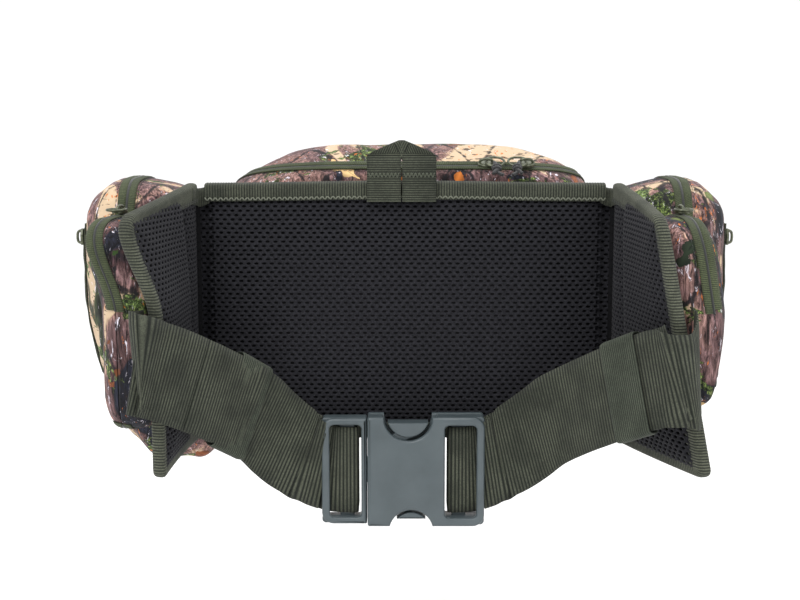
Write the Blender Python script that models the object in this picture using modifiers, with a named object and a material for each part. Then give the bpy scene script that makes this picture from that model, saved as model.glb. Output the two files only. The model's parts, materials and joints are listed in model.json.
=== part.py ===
"""A camouflage waist pack for hunting: padded back panel and hip wings, a zipped main bag, two zipped side
pouches, two zipped wing pockets, a carry handle, and a 50 mm waist belt with a side-release buckle.

+Y points away from the wearer into the bag, +Z is up, and +X is to the right for someone who looks at the
back panel. Right and left are used in that sense, so the right-hand pieces are on the wearer's left. The
origin is the middle of the back panel's face. Sizes below are in millimetres.
"""

import math

import bmesh
import bpy
from mathutils import Matrix, Vector

MM = 0.001
GAP = 0.35  # clearance between pieces that touch on the real pack

# back panel and hip wings
PANEL_HALF_X, PANEL_LOW, PANEL_HIGH = 113.0, -73.0, 71.0
MESH_THICK, FOAM_THICK, SHEET_THICK, CLOTH = 3.0, 7.0, 1.5, 1.6
BINDING_WIDE, BINDING_THICK = 10.0, 1.0
WING_HINGE = (119.5, 5.0)
WING_ANGLE = math.radians(12.0)
WING_START, WING_END = 4.0, 97.0
WING_HIGH_TIP, WING_LOW_TIP = 61.0, -67.0

# main bag: its rim slopes down from the wearer's side, and the lid closes it
BAG_HALF_X, BAG_BASE = 111.0, -74.0
RIM_NEAR_Y, RIM_NEAR_Z, RIM_SLOPE = 24.0, 80.0, 0.25
BAG_FAR_Y = 108.0
TAPE_WIDE, TAPE_THICK = 9.0, 0.8

# side pouches, right-hand one: x outwards, y away from the wearer
POUCH_Y, POUCH_Z = (12.0, 92.0), (-84.0, 72.0)
POUCH_ROOT, POUCH_RIM, POUCH_OUT = 112.6, 160.0, 188.0

# wing pockets, in the wing's own frame: a along the wing, n outwards
POCKET_A, POCKET_Z = (26.0, 88.0), (-54.0, 57.0)
POCKET_RIM, POCKET_OUT = 23.0, 34.0

# webbing and buckle
BELT_WIDE, BELT_THICK = 49.5, 1.8
HANDLE_WIDE, HANDLE_THICK, BEND = 20.0, 1.8, 2.2
FOLD_A, FOLD_Z = 104.0, -12.0
BUCKLE_X, BUCKLE_Y, BUCKLE_Z = -1.2, -20.5, -88.0
BUCKLE_HALF_Z, BUCKLE_THICK = 31.5, 15.0
SEAM, BUCKLE_END = -20.0, 45.8
SLOT_HALF_Z, SLOT_FROM = 26.6, 23.5

# each half's webbing passes behind the end bar and turns round the flat middle bar
END_BAR, END_BAR_BACK = 4.5, -2.2
BAR_MIDDLE, BAR_HALF_X, BAR_HALF_Y, BAR_Y = 31.5, 4.0, 1.2, 1.0
TURN_X, TURN_RADIUS = 28.4, 3.0

# half the distance between the webbing's two layers, and how far the front one bulges near the buckle
LAYER_HALF_GAP, BULGE, BULGE_AT, BULGE_WIDTH = 1.25, 4.5, 20.6, 1.7
SPREAD_FROM = 24
LIFTS = {-1: (0, 2, 4.5, 7, 10, 12, 0, 0), 1: (0, -2, 0, 3.5, 7.5, 12, 0, 0)}
LEVEL_FROM = 20.8
KEEPER_AT = {-1: 15, 1: 9}
KEEPER_HALF, KEEPER_THICK, KEEPER_TALL, KEEPER_DEEP = 12.5, 1.2, 26.6, 5.0

COLOURS = {
    "air_mesh": ((0.03, 0.03, 0.035), 0.9, 0.0),
    "foam": ((0.12, 0.12, 0.12), 0.95, 0.0),
    "stiffener_plastic": ((0.05, 0.05, 0.05), 0.6, 0.0),
    "camo_fabric": ((0.25, 0.2, 0.16), 0.9, 0.0),
    "grosgrain": ((0.07, 0.08, 0.05), 0.85, 0.0),
    "webbing": ((0.06, 0.065, 0.045), 0.85, 0.0),
    "elastic": ((0.09, 0.1, 0.06), 0.9, 0.0),
    "zip_tape": ((0.08, 0.11, 0.05), 0.85, 0.0),
    "zip_metal": ((0.16, 0.17, 0.12), 0.45, 0.6),
    "pull_cord": ((0.01, 0.01, 0.01), 0.8, 0.0),
    "buckle_plastic": ((0.12, 0.15, 0.16), 0.45, 0.0),
}


def clear_scene():
    for item in list(bpy.data.objects):
        bpy.data.objects.remove(item, do_unlink=True)


def material(name):
    """The named material, made on first use."""
    if name in bpy.data.materials:
        return bpy.data.materials[name]
    colour, roughness, metallic = COLOURS[name]
    made = bpy.data.materials.new(name)
    made.use_nodes = True
    shader = made.node_tree.nodes["Principled BSDF"]
    shader.inputs["Base Color"].default_value = (*colour, 1.0)
    shader.inputs["Roughness"].default_value = roughness
    shader.inputs["Metallic"].default_value = metallic
    return made


def finish(name, mesh, kind, origin=(0, 0, 0)):
    """An object from a bmesh in millimetres, with its origin at the given point."""
    shift = Matrix.Scale(MM, 4) @ Matrix.Translation(-Vector(origin))
    bmesh.ops.transform(mesh, matrix=shift, verts=mesh.verts)
    data = bpy.data.meshes.new(name)
    mesh.to_mesh(data)
    mesh.free()
    made = bpy.data.objects.new(name, data)
    made.location = Vector(origin) * MM
    data.materials.append(material(kind))
    bpy.context.scene.collection.objects.link(made)
    return made


def bevel(made, width, segments=2):
    modifier = made.modifiers.new("Bevel", "BEVEL")
    modifier.width = width * MM
    modifier.segments = segments
    modifier.limit_method = "ANGLE"


def solidify(made, thickness, offset):
    modifier = made.modifiers.new("Solidify", "SOLIDIFY")
    modifier.thickness = thickness * MM
    modifier.offset = offset
    modifier.use_even_offset = True


def block_mesh(low, high):
    mesh = bmesh.new()
    bmesh.ops.create_cube(mesh, size=1.0)
    size = Vector(high) - Vector(low)
    middle = (Vector(high) + Vector(low)) / 2
    place = Matrix.Translation(middle) @ Matrix.Diagonal((*size, 1.0))
    bmesh.ops.transform(mesh, matrix=place, verts=mesh.verts)
    return mesh


def block(name, low, high, kind, frame=None, origin=(0, 0, 0), edge=0.0):
    """A box between two corners, moved by a frame matrix, with bevelled edges."""
    mesh = block_mesh(low, high)
    if frame is not None:
        bmesh.ops.transform(mesh, matrix=frame, verts=mesh.verts)
        if frame.determinant() < 0:
            bmesh.ops.reverse_faces(mesh, faces=mesh.faces)
    made = finish(name, mesh, kind, origin)
    if edge:
        bevel(made, edge)
    return made


def cutter(name, low, high, frame=None):
    made = block(name, low, high, "foam", frame)
    made.hide_render = True
    made.display_type = "WIRE"
    return made


def cut(made, tool, operation="DIFFERENCE"):
    modifier = made.modifiers.new(tool.name, "BOOLEAN")
    modifier.operation = operation
    modifier.solver = "EXACT"
    modifier.object = tool


def surface(name, rows, kind, thickness, offset=0.0, around=False, cap=False, flip=False, origin=(0, 0, 0)):
    """A cloth or plastic skin through rows of points, thickened to one closed solid."""
    mesh = bmesh.new()
    grid = [[mesh.verts.new(Vector(p)) for p in row] for row in rows]
    count = len(grid[0])
    for lower, upper in zip(grid, grid[1:]):
        for i in range(count if around else count - 1):
            j = (i + 1) % count
            mesh.faces.new((lower[i], lower[j], upper[j], upper[i]))
    if cap:
        mesh.faces.new(grid[-1])
    if flip:
        bmesh.ops.reverse_faces(mesh, faces=mesh.faces)
    made = finish(name, mesh, kind, origin)
    solidify(made, thickness, offset)
    return made


def rounded(low, high, radius, steps=3):
    """A rounded rectangle as (u, v) points, anticlockwise from the lower right corner."""
    (u0, v0), (u1, v1) = low, high
    corners = ((u1 - radius, v0 + radius, -90), (u1 - radius, v1 - radius, 0))
    corners += ((u0 + radius, v1 - radius, 90), (u0 + radius, v0 + radius, 180))
    points = []
    for u, v, start in corners:
        for k in range(steps + 1):
            angle = math.radians(start + 90 * k / steps)
            points.append((u + radius * math.cos(angle), v + radius * math.sin(angle)))
    return points


def plate(name, outline, low, high, kind, place, mirrored=False):
    """A flat sheet piece: an outline of (u, v) points between two depths, placed by a function."""
    mesh = bmesh.new()
    face = mesh.faces.new([mesh.verts.new(place(u, low, v)) for u, v in outline])
    if mirrored:
        face.normal_flip()
    made = finish(name, mesh, kind)
    solidify(made, high - low, -1.0)
    return made


def wire(name, points, radius, kind, cyclic=False, origin=(0, 0, 0)):
    """A round wire or cord through points."""
    curve = bpy.data.curves.new(name, "CURVE")
    curve.dimensions = "3D"
    curve.bevel_depth = radius * MM
    curve.bevel_resolution = 2
    curve.use_fill_caps = not cyclic
    spline = curve.splines.new("POLY")
    spline.points.add(len(points) - 1)
    for point, p in zip(spline.points, points):
        point.co = (*((Vector(p) - Vector(origin)) * MM), 1.0)
    spline.use_cyclic_u = cyclic
    curve.materials.append(material(kind))
    made = bpy.data.objects.new(name, curve)
    made.location = Vector(origin) * MM
    bpy.context.scene.collection.objects.link(made)
    return made


def smooth_path(knots, steps):
    """Points on a Catmull-Rom curve through the knots."""
    knots = [Vector(k) for k in knots]
    ends = [2 * knots[0] - knots[1]] + knots + [2 * knots[-1] - knots[-2]]
    path = []
    for a, b, c, d in zip(ends, ends[1:], ends[2:], ends[3:]):
        for k in range(steps):
            t = k / steps
            path.append(
                0.5 * (2 * b + (c - a) * t + (2 * a - 5 * b + 4 * c - d) * t * t + (3 * b - a - 3 * c + d) * t**3)
            )
    return path + [knots[-1]]


def side_name(side):
    return "right" if side > 0 else "left"


def wing_point(side, a, n, z):
    """A point in a hip wing's frame: a along the wing, n outwards from its middle, z up."""
    x = WING_HINGE[0] + a * math.sin(WING_ANGLE) + n * math.cos(WING_ANGLE)
    y = WING_HINGE[1] - a * math.cos(WING_ANGLE) + n * math.sin(WING_ANGLE)
    return Vector((side * x, y, z))


def wing_frame(side, a, n, z):
    """The matrix of a wing's frame: local x along the wing, local y outwards, local z up."""
    here = wing_point(side, a, n, z)
    along = wing_point(side, a + 1, n, z) - here
    out = wing_point(side, a, n + 1, z) - here
    return Matrix.Translation(here) @ Matrix((along, out, (0, 0, 1))).transposed().to_4x4()


# --- back panel -------------------------------------------------------------------------------------------


def back_panel():
    """Air mesh, foam and stiffener sheet in layers, bound along the top and bottom edges."""
    def place(u, depth, v):
        return (u, depth, v)

    full = rounded((-PANEL_HALF_X, PANEL_LOW), (PANEL_HALF_X, PANEL_HIGH), 5.0)
    inner = rounded((-PANEL_HALF_X + 8, PANEL_LOW + 12), (PANEL_HALF_X - 8, PANEL_HIGH - 12), 8.0)
    foam_at = MESH_THICK + GAP
    sheet_at = foam_at + FOAM_THICK + GAP
    plate("back_air_mesh", full, 0, MESH_THICK, "air_mesh", place)
    plate("back_foam_pad", full, foam_at, foam_at + FOAM_THICK, "foam", place)
    plate("back_stiffener_sheet", inner, sheet_at, sheet_at + SHEET_THICK, "stiffener_plastic", place)
    near, far = -GAP - BINDING_THICK / 2, foam_at + FOAM_THICK + GAP + BINDING_THICK / 2
    for name, edge, inwards in (("top_binding", PANEL_HIGH, -1), ("bottom_binding", PANEL_LOW, 1)):
        over = edge - inwards * (GAP + BINDING_THICK / 2)
        under = edge + inwards * BINDING_WIDE
        profile = ((near, under), (near, over), (far, over), (far, under))
        rows = [[(x, y, z) for y, z in profile] for x in (-PANEL_HALF_X, PANEL_HALF_X)]
        surface(name, rows, "grosgrain", BINDING_THICK)


def handle():
    """The grab handle: webbing ends sewn side by side on the binding, and a loop folded to a peak."""
    middle, base_low, pivot_z, shoulder, peak = -2.0, PANEL_HIGH - 9.0, PANEL_HIGH + 2.0, 88.0, 95.0
    face = -GAP - BINDING_THICK - GAP
    block(
        "handle_sewn_ends", (middle - HANDLE_WIDE, face - 2 * HANDLE_THICK, base_low),
        (middle + HANDLE_WIDE, face, pivot_z - BEND), "webbing", edge=0.6,
    )
    outline = [(middle + HANDLE_WIDE - 0.5, pivot_z + BEND), (middle + HANDLE_WIDE - 0.5, shoulder)]
    outline += [(middle + 4, peak), (middle - 4, peak), (middle - HANDLE_WIDE + 0.5, shoulder)]
    outline += [(middle - HANDLE_WIDE + 0.5, pivot_z + BEND)]
    mesh = bmesh.new()
    mesh.faces.new([mesh.verts.new((x, face - 2 * HANDLE_THICK, z)) for x, z in outline])
    made = finish("handle_loop", mesh, "webbing", (middle, face - HANDLE_THICK, pivot_z))
    solidify(made, 2 * HANDLE_THICK, -1.0)


# --- main bag ---------------------------------------------------------------------------------------------


def rim_height(y):
    return RIM_NEAR_Z - (y - RIM_NEAR_Y) * RIM_SLOPE


def bag_ring(half_x, near, far, radius, height):
    """A closed ring of the main bag; height is a function of y or a level."""
    level = height if callable(height) else (lambda y: height)
    return [Vector((x, y, level(y))) for x, y in rounded((-half_x, near), (half_x, far), radius, 4)]


def bag_rings():
    """The bag's rings from rim to base."""
    near = MESH_THICK + FOAM_THICK + 2 * GAP + BINDING_THICK + 2 * GAP + 1.6
    return [
        bag_ring(BAG_HALF_X - 3, RIM_NEAR_Y, BAG_FAR_Y - 4, 30, rim_height),
        bag_ring(BAG_HALF_X, near, BAG_FAR_Y - 1, 30, lambda y: rim_height(y) - 8),
        bag_ring(BAG_HALF_X, near, BAG_FAR_Y, 30, 12),
        bag_ring(BAG_HALF_X, near, BAG_FAR_Y, 30, BAG_BASE + 18),
        bag_ring(BAG_HALF_X - 6, near + 1, BAG_FAR_Y - 6, 30, BAG_BASE + 4),
        bag_ring(BAG_HALF_X - 14, near + 6, BAG_FAR_Y - 14, 28, BAG_BASE),
    ]


def lid_rings():
    """The lid's rings from rim to crown."""
    return [
        bag_ring(BAG_HALF_X - 3, RIM_NEAR_Y, BAG_FAR_Y - 4, 30, lambda y: rim_height(y) + GAP),
        bag_ring(BAG_HALF_X - 6, RIM_NEAR_Y + 8, BAG_FAR_Y - 6, 28, lambda y: rim_height(y) + 6),
        bag_ring(BAG_HALF_X - 16, RIM_NEAR_Y + 19, BAG_FAR_Y - 13, 25, lambda y: rim_height(y) + 13),
        bag_ring(BAG_HALF_X - 36, RIM_NEAR_Y + 30, BAG_FAR_Y - 24, 14, lambda y: rim_height(y) + 18),
    ]


def strip_rows(upper, lower, wide, lift, keep):
    """Two rows of a tape that lies outside a skin, from its rim ring towards the next ring."""
    count = len(upper)
    rows = ([], [])
    for i in keep:
        along = upper[(i + 1) % count] - upper[i - 1]
        down = (lower[i] - upper[i]).normalized()
        out = along.cross(down).normalized()
        if out.dot(upper[i] - sum(upper, Vector()) / count) < 0:
            out = -out
        start = upper[i] + down * GAP + out * lift
        rows[0].append(start)
        rows[1].append(start + down * wide)
    return rows


def main_bag():
    rings = bag_rings()
    surface("main_bag_shell", rings, "camo_fabric", CLOTH, -1.0, around=True, cap=True, flip=True)
    lid = lid_rings()
    hinge = (0, BAG_FAR_Y - 3, rim_height(BAG_FAR_Y - 4) + GAP / 2)
    surface("main_lid", lid, "camo_fabric", CLOTH, -1.0, around=True, cap=True, origin=hinge)
    lift = GAP + TAPE_THICK / 2
    near_part = list(range(15, 20)) + list(range(0, 5))
    near_tape = strip_rows(rings[0], rings[1], TAPE_WIDE, lift, near_part)
    surface("main_zip_tape_near", near_tape, "zip_tape", TAPE_THICK)
    far_tape = strip_rows(lid[0], lid[1], TAPE_WIDE - 1, lift, near_part)
    surface("main_zip_tape_far", far_tape, "zip_tape", TAPE_THICK, origin=hinge)
    tilt = math.atan2(rings[0][0].z - rings[1][0].z, rings[0][0].y - rings[1][0].y)
    for number, x, turn in ((1, 47.0, 0.0), (2, 70.0, math.pi)):
        frame = Matrix.Translation((x, RIM_NEAR_Y, RIM_NEAR_Z)) @ Matrix.Rotation(tilt, 4, "X")
        frame = frame @ Matrix.Translation((0, -1, GAP + TAPE_THICK + GAP + 0.5)) @ Matrix.Rotation(turn, 4, "Z")
        zip_slider(f"main_zip_slider_{number}", frame)
        zip_ring(f"main_zip_ring_{number}", frame)
        cord_tail(f"main_zip_cord_{number}", frame, 1 if turn else -1)


# a slider's own frame: x along the zip, y across it, z outwards from the tape
SLIDER_HALF_Y, SLIDER_HIGH, TUNNEL = 3.4, 4.2, (-1.6, 1.6, 1.5, 3.4)
RING_WIRE, RING_HALF_Y, RING_LONG, CORD_RADIUS = 0.7, 5.0, 10.4, 1.3


def zip_slider(name, frame):
    """A zip slider: a body with a tunnel under its bridge, where the pull ring's wire lies."""
    made = block(
        name, (-4.5, -SLIDER_HALF_Y, 0), (4.5, SLIDER_HALF_Y, SLIDER_HIGH), "zip_metal", frame,
        origin=frame.translation,
    )
    low, high = (TUNNEL[0], -9, TUNNEL[2]), (TUNNEL[1], 9, TUNNEL[3])
    cut(made, cutter(name + "_tunnel", low, high, frame))


def zip_ring(name, frame):
    """A closed wire ring through the slider's bridge, straight where it lies in the tunnel."""
    middle = (TUNNEL[2] + TUNNEL[3]) / 2
    outline = rounded((0, -RING_HALF_Y), (RING_LONG, RING_HALF_Y), 1.2, 2)
    points = [frame @ Vector((u, v, middle)) for u, v in outline]
    wire(name, points, RING_WIRE, "zip_metal", cyclic=True, origin=frame @ Vector((0, 0, middle)))


def cord_tail(name, frame, lean):
    """A short knotted pull cord beside the ring, hanging towards the wearer."""
    middle = (TUNNEL[2] + TUNNEL[3]) / 2
    start = RING_HALF_Y + RING_WIRE + CORD_RADIUS + GAP
    points = [frame @ Vector((RING_LONG / 2, lean * (start + k * 2.4), middle)) for k in range(4)]
    wire(name, points, CORD_RADIUS, "pull_cord", origin=frame @ Vector((0, 0, middle)))


# --- side pouches -----------------------------------------------------------------------------------------


def pouch_ring(side, x, inset, radius):
    low = (POUCH_Y[0] + inset, POUCH_Z[0] + inset)
    high = (POUCH_Y[1] - inset, POUCH_Z[1] - inset)
    return [Vector((side * x, y, z)) for y, z in rounded(low, high, radius, 4)]


def side_pouch(side):
    """A deep pouch sewn to the bag's side, with a cover that a zip joins around the top and both sides."""
    name, flip = side_name(side), side > 0
    shell = [pouch_ring(side, POUCH_RIM, 0, 22), pouch_ring(side, POUCH_ROOT + 12, 0, 22)]
    shell += [pouch_ring(side, POUCH_ROOT, 5, 20)]
    surface(f"{name}_pouch_shell", shell, "camo_fabric", CLOTH, -1.0, around=True, cap=True, flip=flip)
    hinge = (side * (POUCH_RIM + GAP / 2), 0, POUCH_Z[0] - 0.5)
    cover = [pouch_ring(side, POUCH_RIM + GAP, 0, 22), pouch_ring(side, POUCH_RIM + 12, 0, 22)]
    cover += [pouch_ring(side, POUCH_OUT - 3, 10, 20), pouch_ring(side, POUCH_OUT, 18, 16)]
    surface(
        f"{name}_pouch_cover", cover, "camo_fabric", CLOTH, -1.0, around=True, cap=True, flip=not flip,
        origin=hinge,
    )
    lift = GAP + TAPE_THICK / 2
    top_and_sides = list(range(4, 16))
    tape = strip_rows(shell[0], shell[1], TAPE_WIDE, lift, top_and_sides)
    surface(f"{name}_pouch_zip_tape", tape, "zip_tape", TAPE_THICK)
    outside = GAP + TAPE_THICK + GAP
    down = Matrix(((0, 0, -1), (side, 0, 0), (0, -1, 0))).transposed().to_4x4()
    frame = Matrix.Translation((side * POUCH_RIM, POUCH_Y[0] - outside, 6)) @ down
    zip_slider(f"{name}_pouch_slider", frame)
    zip_ring(f"{name}_pouch_zip_ring", frame)
    face = POUCH_OUT + GAP
    low, high = sorted((side * face, side * (face + TAPE_THICK)))
    block(f"{name}_pouch_outer_zip_tape", (low, 34, -44), (high, 44, 46), "zip_tape", origin=hinge)
    down = Matrix(((0, 0, -1), (0, -side, 0), (side, 0, 0))).transposed().to_4x4()
    frame = Matrix.Translation((side * (face + TAPE_THICK + GAP), 39, 38)) @ down
    zip_slider(f"{name}_pouch_outer_slider", frame)


# --- hip wings --------------------------------------------------------------------------------------------


def wing_outline(grow=0.0, start=WING_START):
    """The wing's outline as (a, z): it narrows a little towards its rounded front edge."""
    end, high, low, corner = WING_END + grow, WING_HIGH_TIP + grow, WING_LOW_TIP - grow, 10.0 + grow
    points = [(start, PANEL_LOW - grow)]
    for centre_z, start_angle in ((low + corner, -90), (high - corner, 0)):
        for k in range(5):
            angle = math.radians(start_angle + 90 * k / 4)
            points.append((end - corner + corner * math.cos(angle), centre_z + corner * math.sin(angle)))
    return points + [(start, PANEL_HIGH + grow)]


def hip_wing(side):
    """A padded wing: mesh inside, foam, and camouflage cloth outside, with bound edges."""
    name, mirrored = side_name(side), side < 0
    def place(a, n, z):
        return wing_point(side, a, n, z)

    thick = MESH_THICK + GAP + FOAM_THICK + GAP + CLOTH
    inside = -thick / 2
    foam_at = inside + MESH_THICK + GAP
    cloth_at = foam_at + FOAM_THICK + GAP
    outline = wing_outline()
    plate(f"{name}_wing_air_mesh", outline, inside, inside + MESH_THICK, "air_mesh", place, mirrored)
    plate(f"{name}_wing_foam_pad", outline, foam_at, foam_at + FOAM_THICK, "foam", place, mirrored)
    plate(f"{name}_wing_cloth", outline, cloth_at, cloth_at + CLOTH, "camo_fabric", place, mirrored)
    edge = wing_outline(GAP + BINDING_THICK / 2, WING_START + 3)
    rows = [[wing_point(side, a, n, z) for a, z in edge] for n in (inside - 0.5, -inside + 0.5)]
    surface(f"{name}_wing_binding", rows, "grosgrain", BINDING_THICK)
    return -inside


def pocket_ring(side, n, inset, radius):
    low = (POCKET_A[0] + inset, POCKET_Z[0] + inset)
    high = (POCKET_A[1] - inset, POCKET_Z[1] - inset)
    return [wing_point(side, a, n, z) for a, z in rounded(low, high, radius, 4)]


def wing_pocket(side, root):
    """The pocket on a wing's outer face; its cover swings on the edge near the wing's tip."""
    name, flip = side_name(side), side < 0
    shell = [pocket_ring(side, POCKET_RIM, 0, 18), pocket_ring(side, root + 5, 0, 18), pocket_ring(side, root, 3, 16)]
    surface(f"{name}_wing_pocket_shell", shell, "camo_fabric", CLOTH, -1.0, around=True, cap=True, flip=flip)
    hinge = wing_point(side, POCKET_A[1] + 0.5, POCKET_RIM + GAP / 2, 0)
    cover = [pocket_ring(side, POCKET_RIM + GAP, 0, 18), pocket_ring(side, POCKET_RIM + 4, 0, 18)]
    cover += [pocket_ring(side, POCKET_OUT - 2, 5, 15), pocket_ring(side, POCKET_OUT, 13, 12)]
    surface(
        f"{name}_wing_pocket_cover", cover, "camo_fabric", CLOTH, -1.0, around=True, cap=True, flip=not flip,
        origin=hinge,
    )
    rear_and_top = range(7, 19)
    tape = strip_rows(shell[0], shell[1], TAPE_WIDE, GAP + TAPE_THICK / 2, rear_and_top)
    surface(f"{name}_wing_pocket_zip_tape", tape, "zip_tape", TAPE_THICK)
    here = wing_point(side, 50, POCKET_RIM, POCKET_Z[1] + GAP + TAPE_THICK + GAP)
    along = wing_point(side, 51, POCKET_RIM, here.z) - here
    up = Vector((0, 0, 1))
    frame = Matrix.Translation(here) @ Matrix((along, up.cross(along), up)).transposed().to_4x4()
    zip_slider(f"{name}_wing_pocket_slider", frame)
    zip_ring(f"{name}_wing_pocket_zip_ring", frame)


# --- waist belt -------------------------------------------------------------------------------------------


def belt_axis(side):
    """The vertical line at a wing's tip where the webbing folds back towards the buckle."""
    return wing_point(side, FOLD_A, 0, FOLD_Z)


def belt_line(side):
    """The webbing's middle line from its fold at the wing's tip to the buckle's bar."""
    x, y, z = belt_axis(1)
    turn = Vector((TURN_X + side * BUCKLE_X, BUCKLE_Y + BAR_Y, BUCKLE_Z))
    knots = [(x + 2.5, y - 5.5, z), (x - 8, y - 5, z - 3), (x - 22, y + 10, z - 13), (x - 40, y + 34, z - 30)]
    knots += [(x - 56, y + 54, z - 47), turn + Vector((33, -2, 6)), turn + Vector((15.5, 0, 0.8)), turn]
    line = []
    for i, p in enumerate(smooth_path(knots, 4)):
        knot, share = i // 4, i % 4 / 4
        lift = LIFTS[side][knot] * (1 - share) + LIFTS[side][min(knot + 1, len(knots) - 1)] * share
        lift *= min(1, max(0, (LEVEL_FROM - i) / 4))
        line.append(Vector((side * p.x, p.y, p.z + lift)))
    return line


def belt_directions(path, i):
    """The webbing's along, across and outward directions at a point of its middle line."""
    along = (path[min(i + 1, len(path) - 1)] - path[max(i - 1, 0)]).normalized()
    share = i / (len(path) - 1)
    across = Vector((0, 0, 1)) - along * along.z * (1 - share**4)
    across.normalize()
    out = along.cross(across).normalized()
    return along, across, out if out.y < 0 else -out


def belt(side, root):
    """Anchor webbing on the wing, the doubled strap that runs round the buckle's bar, and its keeper."""
    name = side_name(side)
    anchor = [(POCKET_A[1] + 1.5, root + BELT_THICK / 2), (WING_END + 4, root + BELT_THICK / 2)]
    rows = [
        [wing_point(side, a, n + GAP, FOLD_Z + half) for a, n in anchor]
        for half in (-BELT_WIDE / 2, BELT_WIDE / 2)
    ]
    surface(f"{name}_belt_anchor", rows, "webbing", BELT_THICK)

    path = belt_line(side)
    front, rear = [], []
    for i in range(len(path)):
        along, across, out = belt_directions(path, i)
        short = 1 - max(0.0, (i - SPREAD_FROM) / (len(path) - 1 - SPREAD_FROM))
        near = TURN_RADIUS - (TURN_RADIUS - LAYER_HALF_GAP) * short**2
        bulge = BULGE * math.exp(-(((i - BULGE_AT) / BULGE_WIDTH) ** 2))
        front.append((path[i] + out * (near + bulge), across))
        rear.append((path[i] - out * near, across))
    turn = []
    along, across, out = belt_directions(path, len(path) - 1)
    for k in range(1, 6):
        angle = math.pi * k / 6
        turn.append((path[-1] + (out * math.cos(angle) + along * math.sin(angle)) * TURN_RADIUS, across))
    loop = front + turn + rear[:2:-1]
    rows = [[p + across * half for p, across in loop] for half in (-BELT_WIDE / 2, BELT_WIDE / 2)]
    surface(f"{name}_belt_strap", rows, "webbing", BELT_THICK, origin=belt_axis(side))
    keeper(side, path)


def keeper(side, path):
    """An elastic loop round both layers of the webbing."""
    at = KEEPER_AT[side]
    along, across, out = belt_directions(path, at)
    section = rounded((-KEEPER_TALL, -KEEPER_DEEP), (KEEPER_TALL, KEEPER_DEEP), 2.0, 2)
    rows = [
        [path[at] + along * half + across * u + out * v for u, v in section]
        for half in (-KEEPER_HALF, KEEPER_HALF)
    ]
    surface(
        f"{side_name(side)}_belt_keeper", rows, "elastic", KEEPER_THICK, around=True, origin=belt_axis(side)
    )


# --- buckle -----------------------------------------------------------------------------------------------


def buckle_frame():
    return Matrix.Translation((BUCKLE_X, BUCKLE_Y, BUCKLE_Z))


def webbing_slot(half, side, depth, frame):
    """Cuts a buckle half's window for the webbing, thins its end bar, and adds the flat middle bar."""
    name = side_name(side)
    low, high = sorted((side * SLOT_FROM, side * (BUCKLE_END - END_BAR)))
    cut(half, cutter(f"{name}_slot", (low, -depth, -SLOT_HALF_Z), (high, depth, SLOT_HALF_Z), frame))
    low, high = sorted((side * (SLOT_FROM + 1), side * (BUCKLE_END + 1)))
    cut(half, cutter(f"{name}_end", (low, END_BAR_BACK, -SLOT_HALF_Z), (high, depth, SLOT_HALF_Z), frame))
    low, high = (side * BAR_MIDDLE - BAR_HALF_X, side * BAR_MIDDLE + BAR_HALF_X)
    bar_low = (low, BAR_Y - BAR_HALF_Y, -SLOT_HALF_Z - 1)
    bar = block(f"{name}_bar", bar_low, (high, BAR_Y + BAR_HALF_Y, SLOT_HALF_Z + 1), "buckle_plastic", frame)
    bar.hide_render = True
    bar.display_type = "WIRE"
    cut(half, bar, "UNION")


def buckle():
    """A side-release buckle: frame with tongue and two sprung prongs, and the housing that holds them."""
    frame, half_z, half_y = buckle_frame(), BUCKLE_HALF_Z, BUCKLE_THICK / 2
    wall, deep = 2.4, BUCKLE_THICK
    inner_y, inner_z = half_y - wall, 27.0

    male = block(
        "buckle_male_frame", (-BUCKLE_END, 2 - half_y, -half_z), (SEAM - GAP, half_y - 2, half_z),
        "buckle_plastic", frame, origin=belt_axis(-1),
    )
    webbing_slot(male, -1, deep, frame)
    tongue = block("tongue", (SEAM - 2, -3, -7), (8, 3, 7), "buckle_plastic", frame)
    tongue.hide_render = True
    tongue.display_type = "WIRE"
    cut(male, tongue, "UNION")

    female = block(
        "buckle_female_housing", (SEAM, -half_y, -half_z), (BUCKLE_END, half_y, half_z), "buckle_plastic",
        frame, origin=belt_axis(1),
    )
    cut(female, cutter("female_cavity", (SEAM - 1, -inner_y, -inner_z), (15, inner_y, inner_z), frame))
    for number, sign in enumerate((-1, 1)):
        low, high = sorted((sign * 18.0, sign * (half_z + 1)))
        cut(female, cutter(f"notch_{number}", (-9.5, -deep, low), (15, deep, high), frame))
    webbing_slot(female, 1, deep, frame)

    prong_y = inner_y - GAP
    for name, sign in (("upper", 1), ("lower", -1)):
        rows = []
        for y in (-prong_y + 0.9, prong_y - 0.9):
            profile = ((SEAM + GAP, 12.0), (-10.5, 14.5), (-8.8, 20.0), (-2.0, 24.5), (12.0, 23.5))
            rows.append([frame @ Vector((x, y, sign * z)) for x, z in profile])
        surface(
            f"buckle_{name}_prong", rows, "buckle_plastic", 3.6,
            origin=frame @ Vector((SEAM + GAP, 0, sign * 12.0)),
        )


def build():
    clear_scene()
    back_panel()
    handle()
    main_bag()
    for side in (-1, 1):
        side_pouch(side)
        root = hip_wing(side) + GAP
        wing_pocket(side, root)
        belt(side, root)
    buckle()


build()
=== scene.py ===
"""The looks of the hunting waist pack: camouflage cloth, air mesh, webbing, zips and the moulded buckle.

Sizes in this script are millimetres where a name or comment says so, and MM turns them into metres.
"""

import json
import math

import bmesh
import bpy
import numpy as np
from mathutils import Matrix, Vector, noise
from mathutils.bvhtree import BVHTree

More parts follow.
